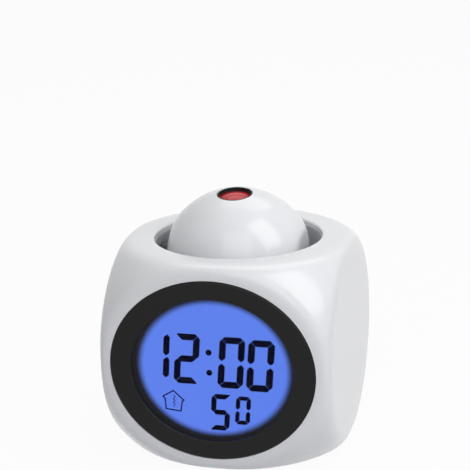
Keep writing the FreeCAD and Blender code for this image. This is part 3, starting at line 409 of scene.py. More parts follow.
def cellSleeve(name, look):
    # printed sleeve of a cell: a pale band near one end and fine lines round it
    tree, place = startMaterial(name)
    along = addNode(tree, "ShaderNodeSeparateXYZ", place, out="X")
    beyond = number(tree, "GREATER_THAN", along, look["bandAt"] * mm)
    stripes = addNode(tree, "ShaderNodeTexWave", Vector=place, Scale=look["stripeScale"],
        Distortion=0.0, bands_direction="X", out="Fac")
    wear = noise(tree, place, look["wearScale"], 3.0)
    wrapped = mixColors(tree, beyond, look["color"], look["band"])
    color = mixColors(tree, spread(tree, wear, 0.0, 0.25), wrapped, darker(look["color"], 0.5))
    endMaterial(tree, look, color, look["roughness"], stripes)


def clearPane(name, look):
    # a thin clear pane: what lies behind shows through, with a faint smudged reflection
    tree, place = startMaterial(name)
    clear = addNode(tree, "ShaderNodeBsdfTransparent", look["tint"])
    smudge = noise(tree, place, look["smudgeScale"], 4.0)
    shine = addNode(tree, "ShaderNodeBsdfGlossy", Color=(1, 1, 1, 1),
        Roughness=spread(tree, smudge, look["roughness"] * 0.6, look["roughness"] * 1.6))
    facing = addNode(tree, "ShaderNodeFresnel", IOR=look["gloss"], out="Fac")
    addNode(tree, "ShaderNodeOutputMaterial", mixShaders(tree, facing, clear, shine))


def litDisplay(name, look):
    # a back-lit panel whose blue light fades out in a soft oval
    tree, place = startMaterial(name)
    halfX, halfZ, upTo = (look[key] * mm for key in ("halfX", "halfZ", "middleZ"))
    centred = addNode(tree, "ShaderNodeMapping", Vector=place, Scale=(1 / halfX, 0, 1 / halfZ),
        Location=(0, 0, -upTo / halfZ))
    reach = vector(tree, "LENGTH", centred, out="Value")
    half = look["fade"] / 2 / look["halfX"]
    fade = addNode(tree, "ShaderNodeMapRange", **{"Value": reach, "From Min": 1 - half,
        "From Max": 1 + half}, interpolation_type="SMOOTHSTEP", out="Result")
    lit = mixColors(tree, noise(tree, place, look["patchScale"]), look["lit"], look["litLow"])
    endGlow(tree, look, mixColors(tree, fade, lit, look["unlit"]))


def glowingGlass(name, look):
    # coloured glass with light coming through it, paler in the middle
    tree, place = startMaterial(name)
    middle = tuple(c * mm for c in look["middle"])
    away = vector(tree, "DISTANCE", place, middle, out="Value")
    share = number(tree, "DIVIDE", away, look["reach"] * mm, use_clamp=True)
    endGlow(tree, look, mixColors(tree, share, look["glow"], look["rimGlow"]))


def plasticLook(shade, roughness, skin=0.12, cloudDepth=0.95, skinScale=2400, **more):
    return dict(color=linear(*shade), roughness=roughness, cloudScale=40, bump=skin,
        cloudDepth=cloudDepth, skinScale=skinScale, bumpDepth=0.06, **more)


# the skin's depth, the clouds' shade and the skin's scale follow the shade and the roughness
plasticFinishes = dict(
    white_gloss=plasticLook((226, 227, 230), 0.17, 0.02, 0.985, 900),
    white_plastic=plasticLook((218, 219, 222), 0.36, 0.10, 0.97),
    white_matte=plasticLook((160, 162, 167), 0.5, 0.12, 0.95),
    inner_plastic=plasticLook((205, 204, 199), 0.5),
    black_matte=plasticLook((9, 9, 10), 0.5, 0.12, 0.8, 3000, specular=0.25),
    black_component=plasticLook((34, 34, 36), 0.45, 0.10, 0.8),
    black_rubber=plasticLook((34, 34, 34), 0.75, 0.3, 0.8),
    foot_rubber=plasticLook((44, 44, 45), 0.8, 0.35, 0.8),
    light_guide=plasticLook((232, 238, 248), 0.3, 0.05, 0.97, 1500),
    dark_glass=plasticLook((36, 22, 28), 0.08, 0.01, 0.9, 800),
    display_ink=plasticLook((3, 3, 32), 0.6, 0.02, 0.95, 2000, specular=0.0),
    sign_blue=plasticLook((22, 24, 104), 0.6, 0.02, 0.95, 2000, specular=0.0),
    sign_ink=plasticLook((96, 98, 104), 0.6, 0.05, 0.85),
)
steelFinishes = dict(
    spring_steel=dict(color=linear(196, 196, 192), roughness=0.28, lineScale=500,
        spotScale=160, spotDepth=0.8, bump=0.08, metallic=1.0),
    screw_steel=dict(color=linear(176, 176, 178), roughness=0.3, lineScale=700,
        spotScale=300, spotDepth=0.75, bump=0.1, metallic=1.0),
    speaker_metal=dict(color=linear(70, 70, 74), roughness=0.4, lineScale=400,
        spotScale=90, spotDepth=0.8, bump=0.1, metallic=0.6),
)
boardFinish = dict(color=linear(22, 96, 54), track=linear(60, 142, 84), trackScale=300,
    pad=linear(190, 190, 182), padScale=160, padSize=0.22,
    roughness=0.32, bump=0.15, bumpDepth=0.04)
paperFinish = dict(color=linear(38, 36, 35), roughness=0.9, ringScale=120, bump=0.5,
    bumpDepth=0.1, fibreScale=1500, fibreDepth=0.6, specular=0.2)
cellFinish = dict(color=linear(36, 44, 96), band=linear(188, 170, 120), bandAt=8,
    stripeScale=260, wearScale=90, roughness=0.25, bump=0.03,
    bumpDepth=0.02, coat=0.4)
windowLook = dict(tint=(1, 1, 1, 1), roughness=0.06, gloss=1.12, smudgeScale=90)
# the lit oval's halves, its middle and the width over which it fades, in millimetres
displayLook = dict(lit=linear(97, 131, 240), litLow=linear(92, 127, 233),
    unlit=linear(32, 32, 36), halfX=26.95, halfZ=24.35, middleZ=38.75,
    fade=3.2, patchScale=30, strength=1.0, color=(0.0, 0.0, 0.0, 1.0),
    roughness=0.3, specular=0.0)
lensLook = dict(color=linear(150, 22, 26), glow=linear(204, 48, 52),
    rimGlow=linear(120, 20, 24), middle=(0.0, -3.58, 93.6), reach=5.2,
    strength=0.42, roughness=0.08, specular=0.2)


for makeFinish, looks in (
        (mouldedPlastic, plasticFinishes), (brushedSteel, steelFinishes),
        (printedBoard, {"green_board": boardFinish}), (cellSleeve, {"cell_wrap": cellFinish}),
        (ribbedPaper, {"cone_paper": paperFinish}), (clearPane, {"clear_window": windowLook}),
        (litDisplay, {"blue_display": displayLook}), (glowingGlass, {"red_glass": lensLook})):
    for name, look in looks.items():
        makeFinish(name, look)
for node, slot in dict(slotOf, speaker_cone="cone_paper").items():
    if len(nodes[node].material_slots) == 0:
        nodes[node].data.materials.append(materials[slot])
    for place in nodes[node].material_slots:
        place.material = materials[slot]
print("materials made:", len(materials))

bodySizes = dict(
    side=84.0, height=76.0, bottom=1.0, ball=58.8, wall=2.2,
    sharpness=43.0,       # lower runs the flats into the corners more gently
    innerSharpness=60.0, divisions=112, innerDivisions=30, steps=160,
    mouth=30.7, mouthLip=0.9, mouthSplay=((1.5, 0.35), (3, 5)),
    ringX=37.2, ringZ=33.0, ringDepth=1.8,
    sleeveX=34.9, sleeveZ=30.7, sleeveEnd=-38.8, sleeveFront=-40.2, sleeveWall=3.2,
    rear=32.7, rearFace=39.9, rearOpening=31.0, rearEnd=36.0, rearLap=1.7,
    base=33.7, baseTop=2.9, baseOpening=32.0, baseEnd=4.9, baseLap=1.5,
    past=4,               # a cutter goes this far beyond the face that it opens
    collarSteps=120,
)
middleZ = bodySizes["bottom"] + bodySizes["height"] / 2


def ballCutCube():
    # a cube and a ball round it blended by one rule, then squashed to the height
    tree, given = startTree("ballCutCube", Int="Divisions",
        Float="Half side, Height, Middle, Ball radius, Sharpness")
    halfSide, ball, sharpness = given["Half side"], given["Ball radius"], given["Sharpness"]
    cube = addNode(tree, "GeometryNodeMeshCube", Size=(2, 2, 2),
        **{"Vertices " + axis: given["Divisions"] for axis in "XYZ"})
    place = addNode(tree, "GeometryNodeInputPosition")
    even = vector(tree, "TANGENT", vector(tree, "MULTIPLY", place, (pi / 4,) * 3))
    ray = vector(tree, "NORMALIZE", even)
    ratio = number(tree, "DIVIDE", ball, halfSide)
    scaled = vector(tree, "MULTIPLY", vector(tree, "ABSOLUTE", ray), joined(tree, *[ratio] * 3))
    shares = vector(tree, "POWER", scaled, joined(tree, *[sharpness] * 3))
    total = number(tree, "ADD", vector(tree, "DOT_PRODUCT", shares, (1, 1, 1), out="Value"), 1.0)
    shrink = number(tree, "POWER", total, number(tree, "DIVIDE", -1.0, sharpness))
    reach = number(tree, "MULTIPLY", ball, shrink)
    squash = number(tree, "DIVIDE", given["Height"], number(tree, "MULTIPLY", halfSide, 2.0))
    reaches = joined(tree, reach, reach, number(tree, "MULTIPLY", reach, squash))
    lift = joined(tree, 0.0, 0.0, given["Middle"])
    moved = addNode(tree, "GeometryNodeSetPosition", Geometry=cube,
        Position=vector(tree, "MULTIPLY_ADD", ray, reaches, lift))
    return endTree(tree, given, moved)


def bodyForm(name, tree, s, inset, sharpness, divisions):
    lengths = {"Half side": s["side"] / 2 - inset, "Height": s["height"] - 2 * inset,
        "Middle": middleZ, "Ball radius": s["ball"] - inset}
    values = {label: length * mm for label, length in lengths.items()}
    return grow(name, tree, dict(values, Sharpness=sharpness, Divisions=divisions), "white_gloss")


def faceDip(x, z, s):
    # how far the front has curved back at a point across and up from its middle
    half, power = s["side"] / 2, s["sharpness"]
    up = z * s["side"] / s["height"]
    low, high = half * 0.5, half
    for _ in range(30):
        y = (low + high) / 2
        total = sum((abs(c) / half) ** power for c in (x, y, up))
        total += (sqrt(x * x + y * y + up * up) / s["ball"]) ** power
        low, high = (low, y) if total > 1 else (y, high)
    return half - (low + high) / 2


def bodyCutters(s):
    # the well, the display's recess and sleeve, and the covers' recesses and openings
    top, lip, edge = s["bottom"] + s["height"], s["mouthLip"], s["mouth"]
    back, past, steps = s["side"] / 2, s["past"], s["steps"]
    mouth = [(edge, top - 2 * past), (edge, top - lip)]
    mouth += [(edge + lip * (1 - cos(a)), top - lip * (1 - sin(a)))
        for a in map(radians, (15, 30, 45, 60, 75, 90))]
    mouth += [(edge + lip + out, top + up) for out, up in s["mouthSplay"]]
    ovals = [(s["ringX"], s["ringZ"], -back - past, s["ringDepth"] - back),
        (s["sleeveX"], s["sleeveZ"], -back - past - 1, s["sleeveEnd"] + past)]
    behind = [(s["rear"], s["rearFace"], back + past), (s["rearOpening"], s["rearEnd"] - past,
        back + past + 1)]
    below = [(s["base"], -past, s["baseTop"]), (s["baseOpening"], -past - 1, s["baseEnd"] + past)]
    stacks = [turnedRings(mouth, steps)]
    stacks += [ovalRings([(0, start), (0, end)], x, z, steps) for x, z, start, end in ovals]
    stacks += [turnedRings([(r, start), (r, end)], steps, (0, 0, middleZ), "Y")
        for r, start, end in behind]
    stacks += [turnedRings([(r, start), (r, end)], steps) for r, start, end in below]
    return [addMesh("cutter", cappedRings(rings)) for rings in stacks]


def collarProfile(inside, outside, start, end):
    return [(inside, start), (outside, start), (outside, end), (inside, end)]


def makeHousing(s):
    tree = ballCutCube()
    outer = bodyForm("outer", tree, s, 0.0, s["sharpness"], s["divisions"])
    inner = bodyForm("inner", tree, s, s["wall"], s["innerSharpness"], s["innerDivisions"])
    mesh = cutAway(outer, [inner] + bodyCutters(s))
    dress(finishMesh("housingShell", mesh, "white_gloss", 30), "white_gloss", "main_housing")
    # collars behind the openings, which the covers and the display ring rest on
    steps = s["collarSteps"]
    rear = collarProfile(s["rearOpening"], s["rear"] + s["rearLap"], s["rearEnd"], s["rearFace"])
    base = collarProfile(s["baseOpening"], s["base"] + s["baseLap"], s["baseTop"], s["baseEnd"])
    front = collarProfile(0, s["sleeveWall"], s["sleeveEnd"], s["sleeveFront"])
    stacks = [turnedRings(rear, steps, (0, 0, middleZ), "Y"), turnedRings(base, steps),
        ovalRings(front, s["sleeveX"], s["sleeveZ"], steps)]
    addPiece("housingCollars", merged(map(loftRings, stacks)), "white_gloss")


makeHousing(bodySizes)
print("housing made")

lugSizes = dict(
    rear=dict(circle=28.5, turns=(12.2, 167.8, -52.2, 232.2), length=6.1, width=4.8,
        depth=4.2, shift=1.15, face=37.7),
    base=dict(circle=28.2, turns=(0, 90, 180, 270), length=8.9, width=4.8,
        depth=4.2, shift=2.55, face=5.1),
)


def lugRow():
    # a tongue at each point, turned to lie along the line from the middle to the point
    tree, given = startTree("lugRow", Vector="Size, Shift, Middle")
    tongue = addNode(tree, "GeometryNodeMeshCube", Size=given["Size"])
    shifted = addNode(tree, "GeometryNodeTransform", Geometry=tongue, Translation=given["Shift"])
    place = addNode(tree, "GeometryNodeInputPosition")
    outward = vector(tree, "SUBTRACT", place, given["Middle"])
    leaning = addNode(tree, "FunctionNodeAlignRotationToVector", Vector=outward, axis="X")
    return endTree(tree, given, standOn(tree, given["Geometry"], shifted, leaning))


def makeLugs(sizes):
    # the lugs behind stand on an upright circle, those of the base on a level one
    tree = lugRow()
    for name, s in sizes.items():
        upright = name == "rear"
        length, width, depth, face = (s[key] for key in ("length", "width", "depth", "face"))
        turns = [radians(a) for a in s["turns"]]
        across = [(s["circle"] * cos(a), s["circle"] * sin(a)) for a in turns]
        if upright:
            points = [(u, face, middleZ + v) for u, v in across]
            shape = dict(Size=(length, depth, width), Shift=(s["shift"], -depth / 2, 0),
                Middle=(0, face, middleZ))
        else:
            points = [(u, v, face) for u, v in across]
            shape = dict(Size=(length, width, depth), Shift=(s["shift"], 0, depth / 2),
                Middle=(0, 0, face))
        values = {label: [c * mm for c in lengths] for label, lengths in shape.items()}
        dress(grow(name + "Lugs", tree, values, "white_gloss", points), "white_gloss")


makeLugs(lugSizes)

ringSizes = dict(
    outerX=37.0, outerZ=32.8, face=-42.3, back=-40.2, spigotBack=-38.7,
    landX=2.3, viewX=29.4, viewZ=26.2, slope=0.25, round=0.6, edge=0.1,
    innerRound=0.3, window=-40.6, lap=2.2, steps=192,
    followed=1.0,         # the part this near the face follows the front's slight curve
)


def makeRing(s):
    # profile points are (distance from the view's edge, y)
    bandX, bandZ = s["outerX"] - s["viewX"], s["outerZ"] - s["viewZ"]
    spigot, lap, edge = bandX - s["landX"], s["lap"], s["edge"]
    profile = roundedProfile([(0, s["window"], 0.0), (0, s["face"] + s["slope"], edge),
        (s["slope"], s["face"], s["innerRound"]), (bandX, s["face"], s["round"]),
        (bandX, s["back"], edge), (spigot, s["back"], 0.0), (spigot, s["spigotBack"], edge),
        (lap, s["spigotBack"], edge), (lap, s["window"], 0.0)])
    rings = []
    for out, y in profile:
        ring = []
        for cosine, sine in circle(s["steps"]):
            x, z = (s["viewX"] + out) * cosine, (s["viewZ"] + out * bandZ / bandX) * sine
            dip = faceDip(x, z, bodySizes) if y < s["face"] + s["followed"] else 0.0
            ring.append((x, y + dip, middleZ + z))
        rings.append(ring)
    addPiece("displayRing", loftRings(rings), "black_matte", "bezel_ring")


makeRing(ringSizes)
print("display ring made")

# the figures on the display, measured across and up from the middle of the table
figures = dict(
    face=-38.6, lift=0.04, sink=0.01, slant=0.08, gap=0.07, chamfer=0.7,
    freeEnd=0.4, middleGap=0.45, fullHeight=19,
    # glyph, left, bottom, width, height, width of upright bars, of level bars
    glyphs=[("2", -14.98, 32.6, 8.94, 18.64, 2.4, 2.4), ("0", 1.0, 31.9, 9.26, 19.0, 2.42, 2.45),
        ("0", 11.36, 31.36, 9.5, 19.06, 2.5, 2.48),
        ("5", -2.12, 15.74, 7.0, 13.7, 1.9, 1.9),
        ("0", 7.05, 18.5, 5.38, 10.62, 1.55, 1.52)],
    bars=[(-18.49, 42.6, 50.6), (-18.94, 34.3, 42.15)], barWidth=2.3,
    dots=[(-1.71, 44.70, 1.1), (-1.70, 37.21, 1.1)],
)
segmentsOf = {"0": "abcdef", "2": "abged", "5": "afgcd"}


def segmentOutline(part, lit, s):
    # one bar of a seven-bar figure, from its lower left corner; the corners are cut a little
    width, height, upright, level, gap, cut = (s[key] for key in ("width", "height", "upright",
        "level", "gap", "cut"))
    half, mitre = height / 2, upright * 0.45
    if part in "ad":
        outer, step = (height, -1) if part == "a" else (0, 1)
        left, right = ("f", "b") if part == "a" else ("e", "c")
        cutLeft = cut * (1 if left in lit else s["freeEnd"])
        cutRight = cut * (1 if right in lit else s["freeEnd"])
        inner = outer + step * level
        return [(cutLeft + gap, outer), (width - cutRight - gap, outer),
            (width - cutRight / 2 - gap, outer + step * cutRight / 2),
            (width - upright - gap, inner), (upright + gap, inner),
            (cutLeft / 2 + gap, outer + step * cutLeft / 2)]
    if part == "g":
        e = level / 2
        return [(mitre + gap, half), (upright + gap, half + e), (width - upright - gap, half + e),
            (width - mitre - gap, half), (width - upright - gap, half - e),
            (upright + gap, half - e)]
    outerX, inward = (0, 1) if part in "ef" else (width, -1)
    end, step = (height, -1) if part in "bf" else (0, 1)
    middle = half - step * (gap if "g" in lit else s["middleGap"])
    return [(outerX, end + step * (cut + gap)),
        (outerX + inward * cut / 2, end + step * (cut / 2 + gap)),
        (outerX + inward * upright, end + step * (level + gap)),
        (outerX + inward * upright, middle - step * mitre), (outerX + inward * mitre, middle),
        (outerX, middle - step * mitre)]


def prism(outline, y0, y1):
    # a flat figure in the upright plane, given a thickness
    count = len(outline)
    after = outline[1:] + outline[:1]
    if sum(a[0] * b[1] - b[0] * a[1] for a, b in zip(outline, after)) < 0:
        outline = outline[::-1]
    points = [(x, y, z) for y in (y0, y1) for x, z in outline]
    faces = [tuple(range(count)), tuple(range(2 * count - 1, count - 1, -1))]
    for k in range(count):
        m = (k + 1) % count
        faces.append((m, k, count + k, count + m))
    return points, faces


def stroke(start, end, line, y0, y1):
    a, b = Vector(start), Vector(end)
    along = (b - a).normalized()
    side = Vector((-along.y, along.x)) * line / 2
    a, b = a - along * line * 0.4, b + along * line * 0.4
    return prism([tuple(a - side), tuple(b - side), tuple(b + side), tuple(a + side)], y0, y1)


def makeFigures(f):
    levels = (f["face"] - f["lift"], f["face"] - f["sink"])
    w, outlines = f["barWidth"], []
    for glyph, left, low, width, height, upright, level in f["glyphs"]:
        shape = dict(width=width, height=height, upright=upright, level=level, gap=f["gap"],
            cut=f["chamfer"] * upright, freeEnd=f["freeEnd"],
            middleGap=f["middleGap"] * height / f["fullHeight"])
        outlines += [(left, low, segmentOutline(part, segmentsOf[glyph], shape))
            for part in segmentsOf[glyph]]
    for left, low, high in f["bars"]:
        h = high - low
        outlines.append((left, low, [(0, 0.5 * w), (0.45 * w, 0), (w, 0.4 * w), (w, h - 0.5 * w),
            (0.6 * w, h), (0, h - 0.45 * w)]))
    shapes = [prism([(left + x + z * f["slant"], low + z) for x, z in outline], *levels)
        for left, low, outline in outlines]
    shapes += [prism(disc(*dot), *levels) for dot in f["dots"]]
    addPiece("displayFigures", merged(shapes), "black_component", finish="display_ink",
        sharpAngle=20)


makeFigures(figures)

houseSign = dict(
    line=0.5, markLine=0.26,
    outline=[(-18.26, 26.27), (-19.08, 27.17), (-15.15, 29.55), (-11.38, 26.21),
        (-11.99, 25.73), (-12.6, 21.97), (-18.07, 22.51), (-18.26, 26.27)],
    inside=[(-15.05, 27.9), (-14.5, 27.25), (-15.35, 26.55), (-14.6, 25.8), (-15.4, 25.1),
        (-14.65, 24.35), (-15.3, 23.5)],
)


def makeHouseSign(h, f):
    levels = (f["face"] - f["lift"], f["face"] - f["sink"])
    shapes = [stroke(start, end, line, *levels) for path, line in ((h["outline"], h["line"]),
        (h["inside"], h["markLine"])) for start, end in zip(path, path[1:])]
    addPiece("displayHouse", merged(shapes), "black_component", finish="sign_blue", sharpAngle=20)


makeHouseSign(houseSign, figures)
print("display figures made")

headSizes = dict(
    z=68.0, radius=26.2, arc=28.5, half=24.5, wall=1.8, edge=9.6, tilt=8.0,
    hole=6.52, holeFrom=5, pin=2.02, seam=0.12, far=60.0,
    steps=160, ribs=60, innerSteps=64, innerRibs=24,
)


def barrelSolid(s, shrink, steps, ribs):
    # the head's outline turned about its tilt axis: an arc with a rounded flat at each end
    radius, arc, half = s["radius"] - shrink, s["arc"] - shrink, s["half"] - shrink
    end = radius - arc + sqrt(arc ** 2 - half ** 2)
    edge = max(s["edge"] - shrink, 0.2)
    lean = asin(half / arc)
    start = max(1, ceil(ribs * 0.06))       # the rounding of the ends takes the first ribs
    turns = [-lean + 2 * lean * k / ribs for k in range(start, ribs + 1 - start)]
    body = [(radius - arc + arc * cos(a), arc * sin(a), 0) for a in turns]
    closed = [(0.0, -half, 0), (end, -half, edge)] + body + [(end, half, edge), (0.0, half, 0)]
    profile = [point for point in roundedProfile(closed, 10) if point[0] > 1e-6]
    return turned(profile, steps, (0, 0, s["z"]), "X")


def makeHead(s):
    z, far, seam = s["z"], s["far"], s["seam"] / 2
    lean = (Matrix.Translation((0, 0, z * mm)) @ Matrix.Rotation(radians(s["tilt"]), 4, "X")
        @ Matrix.Translation((0, 0, -z * mm)))
    for name, node, low, high in (("headUpper", "head_upper_shell", z - far, z + seam),
                                  ("headLower", "head_lower_shell", z - seam, z + far)):
        # the inside, the other half, the lens's hole and the bore for the pins
        shapes = [barrelSolid(s, s["wall"], s["innerSteps"], s["innerRibs"]),
            block((-far, -far, low), (far, far, high))]
        if name == "headUpper":
            hole = [(s["hole"], z + s["holeFrom"]), (s["hole"], z + far)]
            shapes.append(turned(hole, 96))
        bore = [(s["pin"], -far), (s["pin"], far)]
        shapes.append(turned(bore, 48, (0, 0, z), "X"))
        outer = addMesh("outer", barrelSolid(s, 0, s["steps"], s["ribs"]))
        mesh = cutAway(outer, [addMesh("cutter", shape) for shape in shapes])
        mesh.transform(lean)
        dress(finishMesh(name, mesh, "white_gloss", 30), "white_gloss", node, body="head")


makeHead(headSizes)
print("head made")

lensSizes = dict(outer=6.4, inner=5.75, proud=0.1, height=1.5, crown=1.0, disc=5.6,
    discHeight=1.5, gap=0.02, clearance=0.1, steps=96)


def headTurn(shape, s):
    # leans a shape drawn upright about the head's centre
    turn = Matrix.Rotation(radians(s["tilt"]), 4, "X")
    centre = Vector((0, 0, s["z"]))
    return [tuple(turn @ (Vector(point) - centre) + centre) for point in shape[0]], shape[1]


def makeLens(s, h):
    top = h["z"] + sqrt(h["radius"] ** 2 - s["outer"] ** 2) + s["proud"]
    low = top - s["height"]
    profile = roundedProfile([(s["inner"], low, 0), (s["outer"], low, 0.1), (s["outer"], top, 0.3),
        (s["inner"] + 0.1, top - 0.15, 0.2)], 5)
    ring = loftRings(turnedRings(profile, s["steps"]))
    addPiece("lensRing", headTurn(ring, h), "black_matte", "lens_ring", body="head")
    # the lens: a shallow dome on a disc
    reach = s["inner"] - s["clearance"]
    ball = (reach ** 2 + s["crown"] ** 2) / (2 * s["crown"])
    dome = [(ball * sin(a), low + s["crown"] - ball + ball * cos(a))
        for a in np.linspace(0.004, asin(reach / ball), 14)]
    floor = low - s["discHeight"]
    profile = [(s["gap"], floor), (s["disc"], floor), (s["disc"], low - s["gap"]),
        (reach, low - s["gap"])] + dome[::-1]
    lens = turned(profile, s["steps"])
    addPiece("projectorLens", headTurn(lens, h), "red_glass", "projection_lens", body="head")


makeLens(lensSizes, headSizes)
print("lens made")

# nodes whose shape is right, by the width of the small rounding on their edges in millimetres
softEdges = [
    (0.22, "rear_cover battery_door base_cover"), (0.2, "well_liner"), (0.25, "head_yoke"),
    (0.12, "slide_knob"), (0.3, "left_trunnion_pin right_trunnion_pin"), (0.12, "lcd_frame"),
    (0.2, "speaker"), (0.25, "foot_front_left foot_front_right foot_rear_left foot_rear_right"),
    (0.2, "rear_button_1 rear_button_2 rear_button_3 rear_button_4"), (0.12, "slide_switch"),
    (0.15, "light_tunnel"), (0.1, "lens_barrel"), (0.08, "stem_clip"),
]
finishOf = dict(slotOf, head_yoke="black_component")     # the yoke gets a dark finish, which paints the shade in the gap beside the head


def softenEdges(node, width):
    # a copy of a CAD node with its triangles joined and its edges rounded
    mesh = nodes[node].data.copy()
    shell = bmesh.new()
    shell.from_mesh(mesh)
    bmesh.ops.remove_doubles(shell, verts=shell.verts, dist=2e-6)
    bmesh.ops.dissolve_limit(shell, angle_limit=radians(0.6), verts=shell.verts, edges=shell.edges)
    shell.to_mesh(mesh)
    shell.free()
    carrier = link(node + "Soft", mesh)
    bevel = carrier.modifiers.new("edges", "BEVEL")
    bevel.width = width * mm
    bevel.segments = 2
    bevel.limit_method = "ANGLE"
    bevel.angle_limit = radians(40)
    bevel.use_clamp_overlap = True
    first, *others = node.split("_")
    name = first + "".join(word.capitalize() for word in others) + "Soft"
    piece = finishMesh(name, bake(carrier), finishOf[node], 42)
    dress(piece, finishOf[node], node, body=bodyOf[node])


for width, names in softEdges:
    for node in names.split():
        softenEdges(node, width)
print("edges softened")

screwSizes = dict(
    shank=0.72, crest=0.85, pitch=0.6, head=1.9, headHeight=0.9, round=0.35,
    recessWidth=0.4, recessLength=2.3, recessDepth=0.55, steps=32,
    # node, length, turn that points the head outwards, points under the heads
    groups=[
        ("rear_screws", 6.0, (-90, 0, 0), [(side * 28.5 * cos(a), 40.72,
            39.0 + 28.5 * sin(a))
            for a in map(radians, (12.2, -52.2))
            for side in (-1, 1)]),
        ("base_screws", 6.0, (180, 0, 0), [(28.2, 0, 2.28), (0, 28.2, 2.28), (-28.2, 0, 2.28),
            (0, -28.2, 2.28)]),
        ("frame_screws", 2.4, (-90, 0, 0), [(x, -37.28, z) for x in (-35.4, 35.4)
            for z in (31.0, 47.0)]),
        ("board_screws", 3.6, (-90, 0, 0), [(x, -29.78, z) for x in (-23.0, 23.0)
            for z in (14.9, 53.4)]),
    ],
)


def oneScrew(length, s):
    # head up, with threads on the shank and a cross in the head
    shank, pitch = s["shank"], s["pitch"]
    profile = [(0.02, -length), (shank * 0.5, -length + 0.25)]
    for k in range(int((length - 0.8) / pitch)):
        low = -length + 0.5 + k * pitch
        profile += [(shank, low), (s["crest"], low + pitch * 0.35), (shank, low + pitch * 0.7)]
    high, head, r = s["headHeight"], s["head"], s["round"]
    profile += [(shank, 0.0), (head, 0.0)]
    profile += [(head - r + r * cos(a), high - r + r * sin(a)) for a in np.linspace(0, pi / 2, 5)]
    profile += [(head * 0.5, high + 0.03), (0.02, high + 0.05)]
    screw = addMesh("screw", turned(profile, s["steps"]))
    long, wide, deep = s["recessLength"] / 2, s["recessWidth"] / 2, high - s["recessDepth"]
    bars = [addMesh("bar", block((-x, -y, deep), (x, y, high + 1)), "screw_steel")
        for x, y in ((long, wide), (wide, long))]
    return finishMesh("screwMaster", cutAway(screw, bars), "screw_steel", 30)


def screwRow():
    # one object on every point, all turned the same way
    tree, given = startTree("screwRow", Object="Piece", Vector="Turn")
    return endTree(tree, given, standOn(tree, given["Geometry"], pieceOf(tree, given),
        turnedBy(tree, given["Turn"])))


def makeScrews(s):
    tree = screwRow()
    for node, length, turn, points in s["groups"]:
        master = oneScrew(length, s)
        values = dict(Piece=master, Turn=[radians(a) for a in turn])
        name = node.split("_")[0] + "Screws"
        piece = grow(name, tree, values, "screw_steel", points, 30)
        bpy.data.objects.remove(master)
        dress(piece, "screw_steel", node)


makeScrews(screwSizes)
print("screws made")

cellSizes = dict(
    radius=5.25, length=44.5, nub=1.0, nubRadius=1.9, crimp=0.25, steps=64,
    push=0.85, y=34.6, firstZ=28.25, pitch=10.75, count=3,
)


def oneCell(s):
    # a cell along Z with its nub up
    half, r, nub = s["length"] / 2, s["radius"], s["nubRadius"]
    top = half - s["nub"]
    outline = [(0.02, -half), (r * 0.72, -half), (r * 0.78, -half + 0.15), (r * 0.86, -half + 0.1),
        (r - 0.2, -half + 0.1), (r, -half + 0.4), (r, -half + 1.2), (r - s["crimp"], -half + 1.5),
        (r, -half + 1.9), (r, top - 2.2), (r - s["crimp"], top - 1.8), (r, top - 1.4),
        (r, top - 0.4), (r - 0.3, top), (r * 0.62, top), (r * 0.58, top - 0.3),
        (nub + 0.3, top - 0.3), (nub, top), (nub, half - 0.2), (nub - 0.2, half), (0.02, half)]
    return addMesh("cellMaster", turned(outline, s["steps"]))


def cellRow():
    # cells one above the other, every second one turned head to tail
    tree, given = startTree("cellRow", Object="Piece", Float="Push")
    index = addNode(tree, "GeometryNodeInputIndex")
    sign = spread(tree, number(tree, "MODULO", index, 2.0), -1.0, 1.0)
    turn = joined(tree, 0.0, number(tree, "MULTIPLY", sign, pi / 2), 0.0)
    slide = joined(tree, number(tree, "MULTIPLY", sign, given["Push"]), 0.0, 0.0)
    pushed = addNode(tree, "GeometryNodeSetPosition", Geometry=given["Geometry"], Offset=slide)
    return endTree(tree, given, standOn(tree, pushed, pieceOf(tree, given), turnedBy(tree, turn)))


def makeCells(s):
    master = oneCell(s)
    points = [(0, s["y"], s["firstZ"] + k * s["pitch"]) for k in range(s["count"])]
    values = dict(Piece=master, Push=s["push"] * mm)
    piece = grow("batteryCells", cellRow(), values, "cell_wrap", points, 40)
    bpy.data.objects.remove(master)
    dress(piece, "cell_wrap", "battery_cell_1", "battery_cell_2", "battery_cell_3")


makeCells(cellSizes)

contactSizes = dict(
    wall=23.95, thickness=0.4, half=4.0, corner=1.0, y=34.6, tipRadius=1.5,
    tipReach=2.0, left=dict(springs=(1,), tips=(0, 2)),
    right=dict(springs=(0, 2), tips=(1,)),
    coil=dict(turns=3.0, wide=3.4, narrow=2.0, wire=0.3, length=1.6),
)


def coilRow():
    # a cone-shaped coil of wire on every point
    tree, given = startTree("coilRow", Vector="Turn",
        Float="Turns, Wide radius, Narrow radius, Length, Wire radius")
    path = addNode(tree, "GeometryNodeCurveSpiral",
        **{"Resolution": 28, "Rotations": given["Turns"], "Start Radius": given["Wide radius"],
        "End Radius": given["Narrow radius"], "Height": given["Length"]})
    section = addNode(tree, "GeometryNodeCurvePrimitiveCircle", Resolution=10,
        Radius=given["Wire radius"])
    wire = addNode(tree, "GeometryNodeCurveToMesh", **{"Curve": path, "Profile Curve": section,
        "Fill Caps": True})
    return endTree(tree, given, standOn(tree, given["Geometry"], wire,
        turnedBy(tree, given["Turn"])))


def addCoils(name, tree, s, turn, points, *replaced):
    values = {"Turns": s["turns"], "Wide radius": s["wide"] * mm,
        "Narrow radius": s["narrow"] * mm, "Length": s["length"] * mm,
        "Wire radius": s["wire"] * mm, "Turn": turn}
    coils = grow(name, tree, values, "spring_steel", points, 60)
    tidyShell(coils.data)
    return dress(coils, "spring_steel", *replaced)


